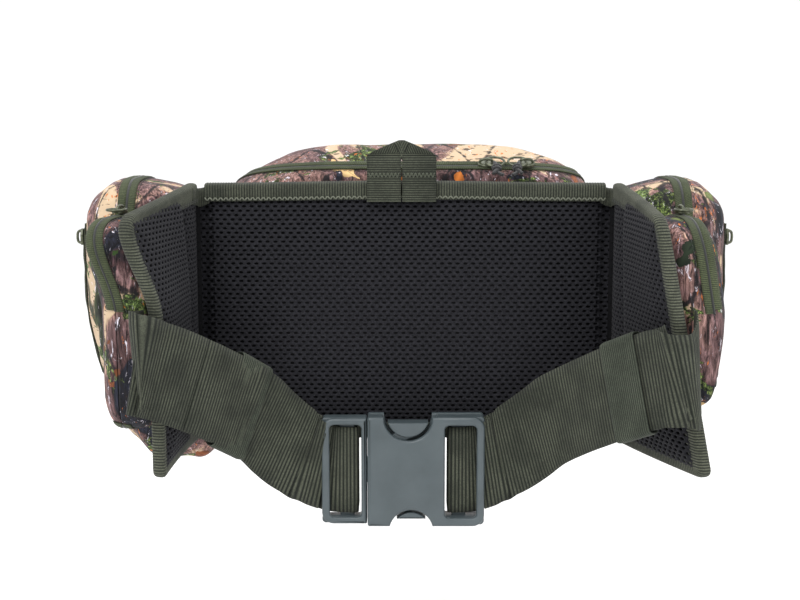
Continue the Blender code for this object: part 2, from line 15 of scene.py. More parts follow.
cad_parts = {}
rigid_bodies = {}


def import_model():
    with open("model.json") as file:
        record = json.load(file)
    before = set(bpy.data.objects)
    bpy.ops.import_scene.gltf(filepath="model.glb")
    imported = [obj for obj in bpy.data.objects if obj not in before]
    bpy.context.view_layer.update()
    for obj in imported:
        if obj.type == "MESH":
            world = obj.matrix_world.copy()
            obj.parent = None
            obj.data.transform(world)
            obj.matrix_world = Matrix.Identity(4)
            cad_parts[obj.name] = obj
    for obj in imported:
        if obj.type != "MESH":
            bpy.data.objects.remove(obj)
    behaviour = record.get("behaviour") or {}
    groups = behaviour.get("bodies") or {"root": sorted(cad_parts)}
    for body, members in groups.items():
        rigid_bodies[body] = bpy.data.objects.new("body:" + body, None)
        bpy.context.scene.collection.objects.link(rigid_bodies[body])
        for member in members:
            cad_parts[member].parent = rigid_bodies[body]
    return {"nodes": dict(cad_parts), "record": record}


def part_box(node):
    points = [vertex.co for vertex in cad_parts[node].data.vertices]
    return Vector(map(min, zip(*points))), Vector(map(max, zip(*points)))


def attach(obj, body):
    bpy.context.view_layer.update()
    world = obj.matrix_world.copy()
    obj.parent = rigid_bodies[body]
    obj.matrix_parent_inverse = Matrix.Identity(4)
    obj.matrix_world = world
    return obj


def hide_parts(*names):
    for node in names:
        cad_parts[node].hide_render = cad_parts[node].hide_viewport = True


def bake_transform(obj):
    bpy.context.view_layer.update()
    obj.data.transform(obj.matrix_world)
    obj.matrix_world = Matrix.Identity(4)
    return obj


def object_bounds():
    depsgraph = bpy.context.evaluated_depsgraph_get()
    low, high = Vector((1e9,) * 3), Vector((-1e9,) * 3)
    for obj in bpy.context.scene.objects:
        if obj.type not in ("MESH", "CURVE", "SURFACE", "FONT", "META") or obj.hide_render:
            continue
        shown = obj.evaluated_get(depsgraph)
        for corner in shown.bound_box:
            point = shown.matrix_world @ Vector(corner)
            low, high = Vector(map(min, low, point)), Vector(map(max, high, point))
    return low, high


MM = 0.001
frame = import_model()
CAD_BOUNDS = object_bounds()
RECORD = frame["record"]
JOINTS = {joint["name"]: joint for joint in RECORD["behaviour"]["joints"]}
SIDES = ((-1, "left"), (1, "right"))


# --- materials --------------------------------------------------------------------------------------------


class Nodes:
    """A short way to write a node material."""

    def __init__(self, name, roughness=0.85, metallic=0.0, sheen=0.0, specular=0.3):
        self.material = bpy.data.materials.new(name)
        self.material.use_nodes = True
        self.tree = self.material.node_tree
        self.shader = self.tree.nodes["Principled BSDF"]
        self.set(self.shader, "Roughness", roughness)
        self.set(self.shader, "Metallic", metallic)
        self.set(self.shader, "Specular IOR Level", specular)
        if sheen:
            self.set(self.shader, "Sheen Weight", sheen)
            self.set(self.shader, "Sheen Roughness", 0.6)
        self.place = self.add("ShaderNodeTexCoord").outputs["Object"]

    def set(self, node, socket, value):
        node.inputs[socket].default_value = value

    def add(self, kind, values=(), **settings):
        node = self.tree.nodes.new(kind)
        for key, value in settings.items():
            setattr(node, key, value)
        for socket, value in dict(values).items():
            if isinstance(value, bpy.types.NodeSocket):
                self.tree.links.new(value, node.inputs[socket])
            else:
                node.inputs[socket].default_value = value
        return node

    def scaled(self, scale, rotation=(0, 0, 0), location=(0, 0, 0)):
        values = {"Vector": self.place, "Scale": scale, "Rotation": rotation, "Location": location}
        return self.add("ShaderNodeMapping", values).outputs[0]

    def noise(self, vector, scale, detail=3.0, roughness=0.5, distortion=0.0):
        values = {"Vector": vector, "Scale": scale, "Detail": detail, "Roughness": roughness}
        values["Distortion"] = distortion
        return self.add("ShaderNodeTexNoise", values).outputs["Fac"]

    def ramp(self, value, stops, constant=False):
        node = self.add("ShaderNodeValToRGB", {"Fac": value})
        node.color_ramp.interpolation = "CONSTANT" if constant else "LINEAR"
        while len(node.color_ramp.elements) < len(stops):
            node.color_ramp.elements.new(0.5)
        for element, (position, colour) in zip(node.color_ramp.elements, stops):
            element.position = position
            element.color = (*colour, 1.0) if len(colour) == 3 else colour
        return node.outputs["Color"]

    def mix(self, share, first, second, kind="MIX"):
        node = self.add("ShaderNodeMix", data_type="RGBA", blend_type=kind)
        for index, value in ((0, share), (6, first), (7, second)):
            if isinstance(value, bpy.types.NodeSocket):
                self.tree.links.new(value, node.inputs[index])
            elif index:
                node.inputs[index].default_value = (*value, 1.0)
            else:
                node.inputs[index].default_value = value
        return node.outputs[2]

    def math(self, operation, first, second=0.5, clamp=False):
        node = self.add("ShaderNodeMath", {0: first, 1: second}, operation=operation, use_clamp=clamp)
        return node.outputs[0]

    def attribute(self, name):
        return self.add("ShaderNodeAttribute", attribute_name=name).outputs["Fac"]

    def weave(self, pitch):
        """The height of a plain weave with the given pitch in metres."""
        vector = self.scaled((1, 1, 1))
        bands = []
        for direction in ("X", "Z"):
            values = {"Vector": vector, "Scale": 0.314 / pitch, "Distortion": 0.6, "Detail": 1.0}
            node = self.add("ShaderNodeTexWave", values, bands_direction=direction)
            bands.append(node.outputs["Fac"])
        return self.math("MULTIPLY", bands[0], bands[1])

    def bump(self, height, strength, distance):
        node = self.add("ShaderNodeBump", {"Height": height, "Strength": strength, "Distance": distance})
        last = self.shader.inputs["Normal"].links
        if last:
            self.tree.links.new(last[0].from_socket, node.inputs["Normal"])
        self.tree.links.new(node.outputs[0], self.shader.inputs["Normal"])

    def colour(self, value):
        if isinstance(value, bpy.types.NodeSocket):
            self.tree.links.new(value, self.shader.inputs["Base Color"])
        else:
            self.set(self.shader, "Base Color", (*value, 1.0))


def scattered_leaves(m, base, scale, shift, long, wide, share, tints):
    """Pointed, lobed leaves, one to a cell and turned at random, painted over a base colour."""
    place = m.scaled((1, 1, 1), location=shift)
    cells = m.add("ShaderNodeTexVoronoi", {"Vector": place, "Scale": scale, "Randomness": 1.0})
    chosen = m.add("ShaderNodeSeparateColor", {"Color": cells.outputs["Color"]}).outputs
    offset = {0: place, 1: cells.outputs["Position"]}
    local = m.add("ShaderNodeVectorMath", offset, operation="SUBTRACT").outputs[0]
    turn = {"Vector": local, "Axis": (0.35, 0.9, 0.25), "Angle": m.math("MULTIPLY", chosen[2], 6.28)}
    turned = m.add("ShaderNodeVectorRotate", turn, rotation_type="AXIS_ANGLE").outputs[0]
    x, y, z = m.add("ShaderNodeSeparateXYZ", {"Vector": turned}).outputs
    aside = m.math("ADD", m.math("ABSOLUTE", x), m.math("MULTIPLY", m.math("ABSOLUTE", y), 0.3))
    along = m.math("DIVIDE", z, long)
    room = m.math("SUBTRACT", 1.0, m.math("MULTIPLY", along, along))
    lobes = m.math("ADD", m.math("MULTIPLY", m.math("SINE", m.math("MULTIPLY", along, 13.0)), 0.22), 0.8)
    ragged = m.math("MULTIPLY", m.noise(m.place, 900, 3.0, 0.6), 0.5 * wide)
    limit = m.math("SUBTRACT", m.math("MULTIPLY", m.math("MULTIPLY", room, lobes), 1.25 * wide), ragged)
    inside = m.math("LESS_THAN", aside, limit)
    kept = m.math("MULTIPLY", inside, m.math("LESS_THAN", chosen[0], share))
    tint = m.ramp(chosen[1], [(0.0, tints[0]), (0.4, tints[1]), (0.72, tints[2])], constant=True)
    vein_tones = [(0.05, (0.45,) * 3), (0.16, (1.25,) * 3), (0.8, (0.55,) * 3)]
    vein = m.ramp(m.math("DIVIDE", aside, wide), vein_tones)
    return m.mix(kept, base, m.mix(1.0, tint, vein, "MULTIPLY"))


# Centre, radius in metres and tone of the print's largest patches: sandy on the lid, bark beside it.
PRINTED_PATCHES = (((0.060, 0.045, 0.090), 0.040, 0.600), ((-0.072, 0.020, 0.080), 0.036, 0.540))


def camouflage():
    """Bark, branches, dry leaves and moss on a sandy ground, printed on a woven polyester."""
    m = Nodes("camouflage_cloth", roughness=0.85, sheen=0.06, specular=0.2)
    ground = m.noise(m.scaled((1.0, 1.0, 0.6), location=(0.31, 0.12, 0.05)), 24, 2.5, 0.55, 0.9)
    edge = m.math("MULTIPLY", m.noise(m.place, 45, 4.0, 0.6, 0.6), 0.045)
    for centre, radius, tone in PRINTED_PATCHES:
        away = m.add("ShaderNodeVectorMath", {0: m.place, 1: centre}, operation="DISTANCE").outputs["Value"]
        reach = m.math("DIVIDE", m.math("ADD", away, edge), radius)
        share = m.math("MULTIPLY", m.math("SUBTRACT", 1.55, reach), 2.6, clamp=True)
        ground = m.math("ADD", ground, m.math("MULTIPLY", share, m.math("SUBTRACT", tone, ground)))
    base = m.ramp(
        ground,
        [
            (0.0, (0.008, 0.010, 0.018)), (0.405, (0.012, 0.014, 0.024)), (0.42, (0.075, 0.040, 0.040)),
            (0.49, (0.17, 0.105, 0.105)), (0.555, (0.27, 0.165, 0.14)), (0.57, (0.51, 0.38, 0.25)),
            (0.625, (0.54, 0.41, 0.28)), (0.638, (0.035, 0.050, 0.018)), (0.74, (0.015, 0.022, 0.010)),
        ],
    )
    sandy = m.ramp(ground, [(0.56, (0, 0, 0)), (0.575, (1, 1, 1)), (0.625, (1, 1, 1)), (0.64, (0, 0, 0))])
    moss = m.noise(m.scaled((1.0, 1.0, 1.4), (0.2, 0.9, 0.4), (0.9, 0.3, 0.6)), 30, 4.0, 0.65, 0.8)
    speckle = m.noise(m.place, 520, 4.0, 0.75, 0.8)
    moss_tones = [(0.42, (0.008, 0.014, 0.005)), (0.52, (0.055, 0.090, 0.022)), (0.62, (0.22, 0.30, 0.09))]
    green = m.ramp(speckle, moss_tones)
    base = m.mix(m.ramp(moss, [(0.575, (0, 0, 0)), (0.59, (1, 1, 1))]), base, green)
    streak = m.noise(m.scaled((4.2, 4.2, 0.7), (0.12, 0.3, 0.2)), 70, 7.0, 0.78, 1.8)
    bark_tones = [(0.38, (0.04, 0.03, 0.035)), (0.47, (0.45, 0.40, 0.40)), (0.54, (0.95, 0.9, 0.9))]
    bark = m.ramp(streak, bark_tones + [(0.64, (1.9, 1.8, 1.85))])
    base = m.mix(1.0, base, m.mix(sandy, bark, (1.0, 1.0, 1.0)), "MULTIPLY")
    ember = m.noise(m.scaled((2.6, 2.6, 0.9), (0.8, 0.2, 0.5), (0.3, 0.8, 0.2)), 60, 5.0, 0.7, 1.2)
    base = m.mix(m.ramp(ember, [(0.625, (0, 0, 0)), (0.64, (0.95, 0.95, 0.95))]), base, (0.50, 0.14, 0.022))
    pale = m.noise(m.scaled((3.0, 3.0, 0.9), (0.5, 0.1, 0.4), (0.7, 0.2, 0.1)), 85, 6.0, 0.72, 1.3)
    base = m.mix(m.ramp(pale, [(0.615, (0, 0, 0)), (0.64, (0.9, 0.9, 0.9))]), base, (0.70, 0.66, 0.74))
    twigs = {"Vector": m.scaled((1.0, 1.0, 0.4), (0.25, 0.5, 0.15)), "Scale": 30.0, "Randomness": 1.0}
    cracks = m.add("ShaderNodeTexVoronoi", twigs, feature="DISTANCE_TO_EDGE").outputs["Distance"]
    line = m.math("ADD", cracks, m.math("MULTIPLY", m.noise(m.place, 220, 3.0, 0.6), 0.13))
    base = m.mix(m.ramp(line, [(0.070, (0.95, 0.95, 0.95)), (0.095, (0, 0, 0))]), base, (0.008, 0.007, 0.009))
    dashes = m.noise(m.scaled((1.2, 1.2, 6.0), (0.1, 0.2, 0.05)), 130, 2.0, 0.5)
    dark_dash = m.math("MULTIPLY", sandy, m.ramp(dashes, [(0.62, (0, 0, 0)), (0.64, (0.9, 0.9, 0.9))]))
    base = m.mix(dark_dash, base, (0.05, 0.032, 0.022))
    rust = ((0.50, 0.15, 0.025), (0.62, 0.42, 0.20), (0.20, 0.060, 0.020))
    moss_tints = ((0.040, 0.085, 0.018), (0.13, 0.16, 0.04), (0.012, 0.020, 0.010))
    base = scattered_leaves(m, base, 32.0, (0.1, 0.0, 0.3), 0.016, 0.0045, 0.40, rust)
    base = scattered_leaves(m, base, 36.0, (0.5, 0.4, 0.0), 0.014, 0.0050, 0.40, moss_tints)
    m.colour(base)
    m.bump(m.weave(0.0006), 0.35, 0.0002)
    m.bump(m.noise(m.place, 420, 2.0), 0.12, 0.0006)
    return m.material


def air_mesh():
    m = Nodes("black_air_mesh", roughness=0.85, sheen=0.04, specular=0.15)
    shade = m.noise(m.place, 900, 2.0)
    m.colour(m.ramp(shade, [(0.3, (0.0055, 0.0055, 0.0075)), (0.7, (0.016, 0.016, 0.020))]))
    m.bump(m.noise(m.place, 2600, 1.0), 0.4, 0.0003)
    return m.material


def dark_lining(name="dark_lining", colour=(0.0035, 0.0035, 0.004)):
    m = Nodes(name, roughness=0.95, specular=0.08)
    shade = m.noise(m.place, 500, 2.0)
    m.colour(m.mix(shade, colour, tuple(c * 1.8 for c in colour)))
    m.bump(m.weave(0.0008), 0.4, 0.0003)
    return m.material


def ribbed(name, low, high):
    """Webbing or grosgrain: its colour follows the ribs that its mesh stores as an attribute, as painted
    shade in the grooves and a painted highlight on the ribs.
    """
    m = Nodes(name, roughness=0.8, sheen=0.05, specular=0.2)
    # Painted light: the rib height turns the colour from the painted groove shade (low) to the painted rib
    # highlight (high).
    ridge = m.ramp(m.attribute("rib"), [(0.4, (0, 0, 0)), (0.95, (1, 1, 1))])
    # worn only dims the painted rib highlight in random patches.
    worn = m.ramp(m.noise(m.place, 55, 3.0, 0.6), [(0.35, (0.45, 0.45, 0.45)), (0.6, (1, 1, 1))])
    base = m.mix(m.math("MULTIPLY", ridge, worn), low, high)
    fine = m.noise(m.place, 1500, 2.0, 0.7)
    tone = m.ramp(fine, [(0.3, (0.6,) * 3), (0.7, (1.4,) * 3)])
    m.colour(m.mix(1.0, base, tone, "MULTIPLY"))
    m.bump(m.noise(m.place, 2400, 2.0), 0.5, 0.0003)
    return m.material


def plastic():
    """Satin moulded plastic with a fine spark-eroded grain and a few handling marks."""
    m = Nodes("moulded_plastic", roughness=0.38, specular=0.5)
    tone = m.noise(m.place, 60, 3.0)
    m.colour(m.ramp(tone, [(0.3, (0.043, 0.057, 0.063)), (0.7, (0.059, 0.076, 0.083))]))
    worn = m.noise(m.scaled((1, 1, 5)), 160, 5.0, 0.7)
    rough = m.ramp(worn, [(0.35, (0.33, 0.33, 0.33)), (0.7, (0.50, 0.50, 0.50))])
    m.tree.links.new(rough, m.shader.inputs["Roughness"])
    m.bump(m.noise(m.place, 3000, 1.0), 0.12, 0.0001)
    return m.material


def painted_metal():
    m = Nodes("painted_zip_metal", roughness=0.38, metallic=0.35, specular=0.5)
    tone = m.noise(m.place, 700, 3.0)
    m.colour(m.ramp(tone, [(0.35, (0.05, 0.055, 0.035)), (0.65, (0.11, 0.12, 0.075))]))
    m.bump(m.noise(m.place, 1800, 2.0), 0.15, 0.0002)
    return m.material


def thread(name, colour):
    m = Nodes(name, roughness=0.6, sheen=0.2)
    m.colour(m.mix(m.noise(m.place, 2500, 1.0), colour, tuple(c * 1.6 for c in colour)))
    m.bump(m.noise(m.place, 4000, 1.0), 0.4, 0.0002)
    return m.material


CAMO, AIR_MESH, LINING = camouflage(), air_mesh(), dark_lining()
FOAM = dark_lining("foam_edge", (0.03, 0.03, 0.032))
# Each ribbed material's first colour is the painted shade in its rib grooves, and its second the painted
# highlight on its ribs.
WEBBING = ribbed("olive_webbing", (0.007, 0.009, 0.006), (0.061, 0.067, 0.047))
ELASTIC = ribbed("olive_elastic", (0.012, 0.016, 0.010), (0.059, 0.068, 0.049))
GROSGRAIN = ribbed("olive_grosgrain", (0.008, 0.010, 0.007), (0.092, 0.098, 0.070))
PANEL_GROSGRAIN = ribbed("dark_grosgrain", (0.008, 0.010, 0.007), (0.056, 0.061, 0.043))
TAPE = ribbed("zip_tape", (0.024, 0.030, 0.014), (0.072, 0.086, 0.044))
COIL = thread("zip_coil", (0.006, 0.007, 0.006))
METAL, PLASTIC = painted_metal(), plastic()
CORD = thread("black_cord", (0.008, 0.008, 0.009))
OLIVE_THREAD = thread("olive_thread", (0.035, 0.042, 0.024))
DARK_THREAD = thread("dark_thread", (0.008, 0.010, 0.008))
PALE_THREAD = thread("pale_olive_thread", (0.090, 0.098, 0.070))


# --- mesh helpers -----------------------------------------------------------------------------------------


def new_piece(name, points, faces, material, slot, body=None):
    """A mesh piece from points in metres in the row frame."""
    data = bpy.data.meshes.new(name)
    data.from_pydata([tuple(p) for p in points], [], faces)
    data.update()
    piece = bpy.data.objects.new(name, data)
    bpy.context.scene.collection.objects.link(piece)
    return dress(piece, material, slot, body)


def dress(piece, material, slot, body=None):
    piece.data.materials.clear()
    piece.data.materials.append(material)
    piece.data.polygons.foreach_set("use_smooth", [True] * len(piece.data.polygons))
    if body:
        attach(piece, body)
    return piece


def outward(piece):
    """Turns a closed mesh's faces outwards."""
    mesh = bmesh.new()
    mesh.from_mesh(piece.data)
    bmesh.ops.recalc_face_normals(mesh, faces=mesh.faces)
    mesh.to_mesh(piece.data)
    mesh.free()


def resample(path, step, closed=False):
    """Points at even steps along a polyline, and the distance of each from its start."""
    points = np.array([tuple(p) for p in path], float)
    if closed:
        points = np.vstack([points, points[:1]])
    lengths = np.r_[0, np.cumsum(np.linalg.norm(np.diff(points, axis=0), axis=1))]
    count = max(2, int(round(lengths[-1] / step)) + 1)
    at = np.linspace(0, lengths[-1], count)
    return np.stack([np.interp(at, lengths, points[:, k]) for k in range(3)], 1), at


def smooth_path(knots, steps=16):
    """Points on a Catmull-Rom curve through the knots."""
    knots = [Vector(k) for k in knots]
    ends = [2 * knots[0] - knots[1]] + knots + [2 * knots[-1] - knots[-2]]
    path = []
    for a, b, c, d in zip(ends, ends[1:], ends[2:], ends[3:]):
        for k in range(steps):
            t = k / steps
            bend = (2 * a - 5 * b + 4 * c - d) * t * t + (3 * b - a - 3 * c + d) * t**3
            path.append(0.5 * (2 * b + (c - a) * t + bend))
    return path + [knots[-1]]


def unit(rows):
    return rows / np.maximum(np.linalg.norm(rows, axis=1, keepdims=True), 1e-12)


def strip(
    name, path, across, wide, thick, pitch, material, slot, body=None, rib=0.18, closed=False, span=None,
    lengthwise=False,
):
    """Woven tape along a path. Its ribs, the rib attribute, run across it, or along it if lengthwise.

    path and across are lists of points and width directions in metres; wide, thick, pitch and rib in mm.
    span keeps only the stretch between two distances from the path's start, in metres.
    """
    step = (1.0 if lengthwise else pitch / 6) * MM
    columns = int(wide / pitch * 6) if lengthwise else 9
    points, at = resample(path, step, closed)
    source = np.array([tuple(p) for p in path], float)
    widths = np.array([tuple(a) for a in across], float)
    if closed:
        source, widths = np.vstack([source, source[:1]]), np.vstack([widths, widths[:1]])
    lengths = np.r_[0, np.cumsum(np.linalg.norm(np.diff(source, axis=0), axis=1))]
    widths = unit(np.stack([np.interp(at, lengths, widths[:, k]) for k in range(3)], 1))
    if closed:
        points, at, widths = points[:-1], at[:-1], widths[:-1]
        along = unit(np.roll(points, -1, 0) - np.roll(points, 1, 0))
    else:
        along = unit(np.gradient(points, axis=0))
    if span:
        kept = (at > span[0] - step / 2) & (at < span[1] + step / 2)
        points, at, widths, along = points[kept], at[kept], widths[kept], along[kept]
    normals = unit(np.cross(along, widths))
    u = np.linspace(-1, 1, columns)
    if lengthwise:
        height = np.abs(np.sin(math.pi * u * wide / 2 / pitch))[None, :].repeat(len(points), 0)
    else:
        height = np.abs(np.sin(math.pi * at / (pitch * MM)))[:, None].repeat(columns, 1)
    edge = np.minimum(1.0, (1 - np.abs(u)) * 4.5 + 0.45)
    rows, ribs = [], []
    for sign in (1, -1):
        order = u if sign > 0 else u[::-1]
        edges = edge if sign > 0 else edge[::-1]
        lift = sign * (thick / 2 * edges[None, :] + rib * (height - 0.5) * (edges[None, :] > 0.9))
        ring = points[:, None] + widths[:, None] * (order * wide / 2 * MM)[None, :, None]
        rows.append(ring + normals[:, None] * lift[..., None] * MM)
        ribs.append(height)
    rings = np.concatenate(rows, 1)
    ribs = np.concatenate(ribs, 1)
    stations, around = rings.shape[:2]
    index = np.arange(stations * around).reshape(stations, around)
    upper = np.roll(index, -1, 0) if closed else index[1:]
    lower = index if closed else index[:-1]
    quads = np.stack([lower, np.roll(lower, -1, 1), np.roll(upper, -1, 1), upper], -1).reshape(-1, 4)
    faces = quads.tolist()
    if not closed:
        faces += [index[0][::-1].tolist(), index[-1].tolist()]
    piece = new_piece(name, rings.reshape(-1, 3), faces, material, slot)
    outward(piece)
    # The rib height, which the ribbed materials paint as shade in the grooves and a highlight on the ribs.
    store = piece.data.attributes.new("rib", "FLOAT", "POINT")
    store.data.foreach_set("value", ribs.reshape(-1).astype(np.float32))
    if body:
        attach(piece, body)
    return piece


# Where a stitch's rings lie along it, their share of its radius, and how far they stand off the cloth in mm.
STITCH_RINGS = ((0, 0.25, -0.1), (0.2, 0.9, 0.12), (0.5, 1, 0.3), (0.8, 0.9, 0.12), (1, 0.25, -0.1))


def stitches(name, runs, body, material=OLIVE_THREAD, long=2.4, gap=0.7, radius=0.28, slot="grosgrain"):
    """Rows of thread along runs of (path, normal): each stitch is a small bowed capsule."""
    points, faces = [], []
    sides = 6
    for path, normal in runs:
        line = resample(path, (long + gap) * MM)[0]
        for a, b in zip(line, line[1:]):
            a, b = Vector(a), Vector(b)
            along = (b - a) * (long / (long + gap))
            out = Vector(normal).normalized()
            side = along.normalized().cross(out)
            base = len(points)
            for share, size, lift in STITCH_RINGS:
                centre = a + along * share + out * lift * MM
                for k in range(sides):
                    angle = 2 * math.pi * k / sides
                    ring = side * math.cos(angle) + out * math.sin(angle)
                    points.append(centre + ring * radius * size * MM)
            for r in range(4):
                for k in range(sides):
                    j = (k + 1) % sides
                    row = base + r * sides
                    faces.append((row + k, row + j, row + sides + j, row + sides + k))
            faces.append([base + k for k in range(sides)][::-1])
            faces.append([base + 4 * sides + k for k in range(sides)])
    return new_piece(name, points, faces, material, slot, body)


def tube(name, path, radius, material, slot, body, closed=False, sides=10, twist=None):
    """A round wire or cord along a path, radius in mm. twist is a braid's ripple: (pitch, height) in mm."""
    step = (twist[0] / 5 if twist else radius * 0.5) * MM
    points, at = resample(path, step, closed)
    if closed:
        points, at = points[:-1], at[:-1]
        along = unit(np.roll(points, -1, 0) - np.roll(points, 1, 0))
    else:
        along = unit(np.gradient(points, axis=0))
    frames = []
    side = Vector(along[0]).orthogonal().normalized()
    for direction in along:
        direction = Vector(direction)
        side = (side - direction * side.dot(direction)).normalized()
        frames.append((side, direction.cross(side)))
    rings = []
    for centre, (s, t), distance in zip(points, frames, at):
        for k in range(sides):
            angle = 2 * math.pi * k / sides
            size = radius * MM
            if twist:
                size += twist[1] * MM * math.sin(4 * angle + 2 * math.pi * distance / (twist[0] * MM))
            rings.append(Vector(centre) + (s * math.cos(angle) + t * math.sin(angle)) * size)
    count = len(points)
    faces = []
    for r in range(count if closed else count - 1):
        for k in range(sides):
            j, n = (k + 1) % sides, (r + 1) % count
            faces.append((r * sides + k, r * sides + j, n * sides + j, n * sides + k))
    if not closed:
        faces += [list(range(sides))[::-1], list(range((count - 1) * sides, count * sides))]
    piece = new_piece(name, rings, faces, material, slot)
    outward(piece)
    if body:
        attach(piece, body)
    return piece


# --- padded cloth by simulation ---------------------------------------------------------------------------


def hull_of(name, nodes):
    """A closed form round some CAD nodes, which are convex together."""
    mesh = bmesh.new()
    for node in nodes:
        for vertex in frame["nodes"][node].data.vertices:
            mesh.verts.new(vertex.co)
    found = bmesh.ops.convex_hull(mesh, input=mesh.verts)
    bmesh.ops.delete(mesh, geom=list(set(found["geom_interior"] + found["geom_unused"])), context="VERTS")
    bmesh.ops.recalc_face_normals(mesh, faces=mesh.faces)
    data = bpy.data.meshes.new(name)
    mesh.to_mesh(data)
    mesh.free()
    form = bpy.data.objects.new(name, data)
    bpy.context.scene.collection.objects.link(form)
    return form


def apply_modifiers(piece):
    bpy.context.view_layer.update()
    graph = bpy.context.evaluated_depsgraph_get()
    data = bpy.data.meshes.new_from_object(piece.evaluated_get(graph))
    piece.modifiers.clear()
    piece.data = data


def coordinates(piece):
    points = np.empty(len(piece.data.vertices) * 3)
    piece.data.vertices.foreach_get("co", points)
    return points.reshape(-1, 3)


def remesh(piece, voxel):
    modifier = piece.modifiers.new("Remesh", "REMESH")
    modifier.mode = "VOXEL"
    modifier.voxel_size = voxel * MM
    modifier.use_smooth_shade = True
    apply_modifiers(piece)


CLOTH_VOXEL, CLOTH_FRAMES = 4.0, 20


def puff(piece, hold, cap, pressure):
    """Swells a closed form by cloth simulation, by cap mm at most. hold(points) is 1 where it is sewn."""
    remesh(piece, CLOTH_VOXEL)
    start = coordinates(piece)
    group = piece.vertex_groups.new(name="hold")
    for index in np.flatnonzero(hold(start) > 0.5):
        group.add([int(index)], 1.0, "REPLACE")
    modifier = piece.modifiers.new("Cloth", "CLOTH")
    settings = modifier.settings
    settings.quality = 5
    settings.mass = 0.2
    settings.vertex_group_mass = "hold"
    settings.tension_stiffness = settings.compression_stiffness = 12
    settings.bending_stiffness = 0.4
    settings.use_pressure = True
    settings.uniform_pressure_force = pressure
    settings.effector_weights.gravity = 0
    modifier.collision_settings.use_self_collision = False
    modifier.point_cache.frame_start, modifier.point_cache.frame_end = 1, CLOTH_FRAMES
    for number in range(1, CLOTH_FRAMES + 1):
        bpy.context.scene.frame_set(number)
    apply_modifiers(piece)
    bpy.context.scene.frame_set(1)
    moved = coordinates(piece) - start
    far = np.linalg.norm(moved, axis=1, keepdims=True)
    ends = start + moved * np.minimum(1.0, cap * MM / np.maximum(far, 1e-9))
    piece.data.vertices.foreach_set("co", ends.reshape(-1))
    piece.data.update()


def wrinkle(piece, height, size, seed, fade):
    """Low folds in the cloth: ridged noise along the normals, in mm; fade(point) scales it."""
    normals = np.empty(len(piece.data.vertices) * 3)
    piece.data.vertices.foreach_get("normal", normals)
    normals = normals.reshape(-1, 3)
    points = coordinates(piece)
    for i, p in enumerate(points):
        at = Vector(p) / (size * MM)
        fold = noise.noise(at + Vector((seed, 0, 0)))
        crease = 1 - abs(noise.noise(at * 1.9 + Vector((0, seed, 3.1)))) * 2.2
        amount = height * (0.6 * fold + 0.4 * crease) * fade(p)
        points[i] = p + normals[i] * amount * MM
    piece.data.vertices.foreach_set("co", points.reshape(-1))
    piece.data.update()


def half(piece, name, point, normal):
    """The part of a closed skin on the side of a plane that the normal points to, open at the plane."""
    data = piece.data.copy()
    mesh = bmesh.new()
    mesh.from_mesh(data)
    geometry = list(mesh.verts) + list(mesh.edges) + list(mesh.faces)
    bmesh.ops.bisect_plane(mesh, geom=geometry, plane_co=point, plane_no=normal, clear_inner=True)
    loose = [v for v in mesh.verts if not v.link_faces]
    bmesh.ops.delete(mesh, geom=loose, context="VERTS")
    mesh.to_mesh(data)
    mesh.free()
    made = bpy.data.objects.new(name, data)
    bpy.context.scene.collection.objects.link(made)
    return made


def rim_loop(piece):
    """The points of an open skin's longest edge, in order, as an array."""
    mesh = bmesh.new()
    mesh.from_mesh(piece.data)
    # A dict keeps the mesh's own order, so the loop starts at the same edge every time.
    left = dict.fromkeys(edge for edge in mesh.edges if edge.is_boundary)
    loops = []
    while left:
        edge = next(iter(left))
        del left[edge]
        loop, last = [edge.verts[0], edge.verts[1]], edge.verts[1]
        while True:
            onward = [e for e in last.link_edges if e in left]
            if not onward:
                break
            del left[onward[0]]
            last = onward[0].other_vert(last)
            loop.append(last)
        loops.append(loop)
    longest = max(loops, key=len)
    points = np.array([tuple(v.co) for v in longest[:-1]])
    mesh.free()
    even, _ = resample(points, 3 * MM, closed=True)
    even = even[:-1]
    for _ in range(4):
        even = (np.roll(even, 1, 0) + 2 * even + np.roll(even, -1, 0)) / 4
    return even


def surface_tree(piece):
    graph_mesh = bmesh.new()
    graph_mesh.from_mesh(piece.data)
    tree = BVHTree.FromBMesh(graph_mesh)
    graph_mesh.free()
    return tree


def lines_beside(piece, loop, away, distances, lift):
    """Lines on a skin that follow its rim loop at distances (mm) from it, lifted off it by lift mm."""
    tree = surface_tree(piece)
    away = Vector(away)
    rows = [[] for _ in distances]
    centre = Vector(loop.mean(0))
    for point in loop:
        here = Vector(point)
        done, at = 0.0, here
        normal = tree.find_nearest(here + away * 2 * MM)[1]
        if normal.dot(here - centre) < 0:
            normal = -normal
        for row, distance in zip(rows, distances):
            count = max(1, int(abs(distance - done) // 1.5))
            for _ in range(count):
                direction = (away - normal * away.dot(normal)).normalized()
                at = at + direction * (distance - done) / count * MM
                found = tree.find_nearest(at)
                if (found[0] - at).length < 4 * MM:
                    at = found[0] if distance > 1.5 else at
                    fresh = found[1]
                    if fresh.dot(normal) < 0:
                        fresh = -fresh
                    normal = (normal * 0.6 + fresh * 0.4).normalized()
            done = distance
            row.append(at + normal * lift * MM)
    smooth = []
    for row in rows:
        row = np.array([tuple(p) for p in row])
        for _ in range(2):
            row = (np.roll(row, 1, 0) + 2 * row + np.roll(row, -1, 0)) / 4
        smooth.append(row)
    return smooth


def longest_run(keep):
    """The indices of the longest cyclic run of true values."""
    count = len(keep)
    if all(keep):
        return list(range(count))
    start = next(i for i in range(count) if not keep[i])
    runs, run = [], []
    for k in range(1, count + 1):
        i = (start + k) % count
        if keep[i]:
            run.append(i)
        elif run:
            runs.append(run)
            run = []
    if run:
        runs.append(run)
    return max(runs, key=len)


LAID_THICK, LAID_RIB = 0.7, 0.08


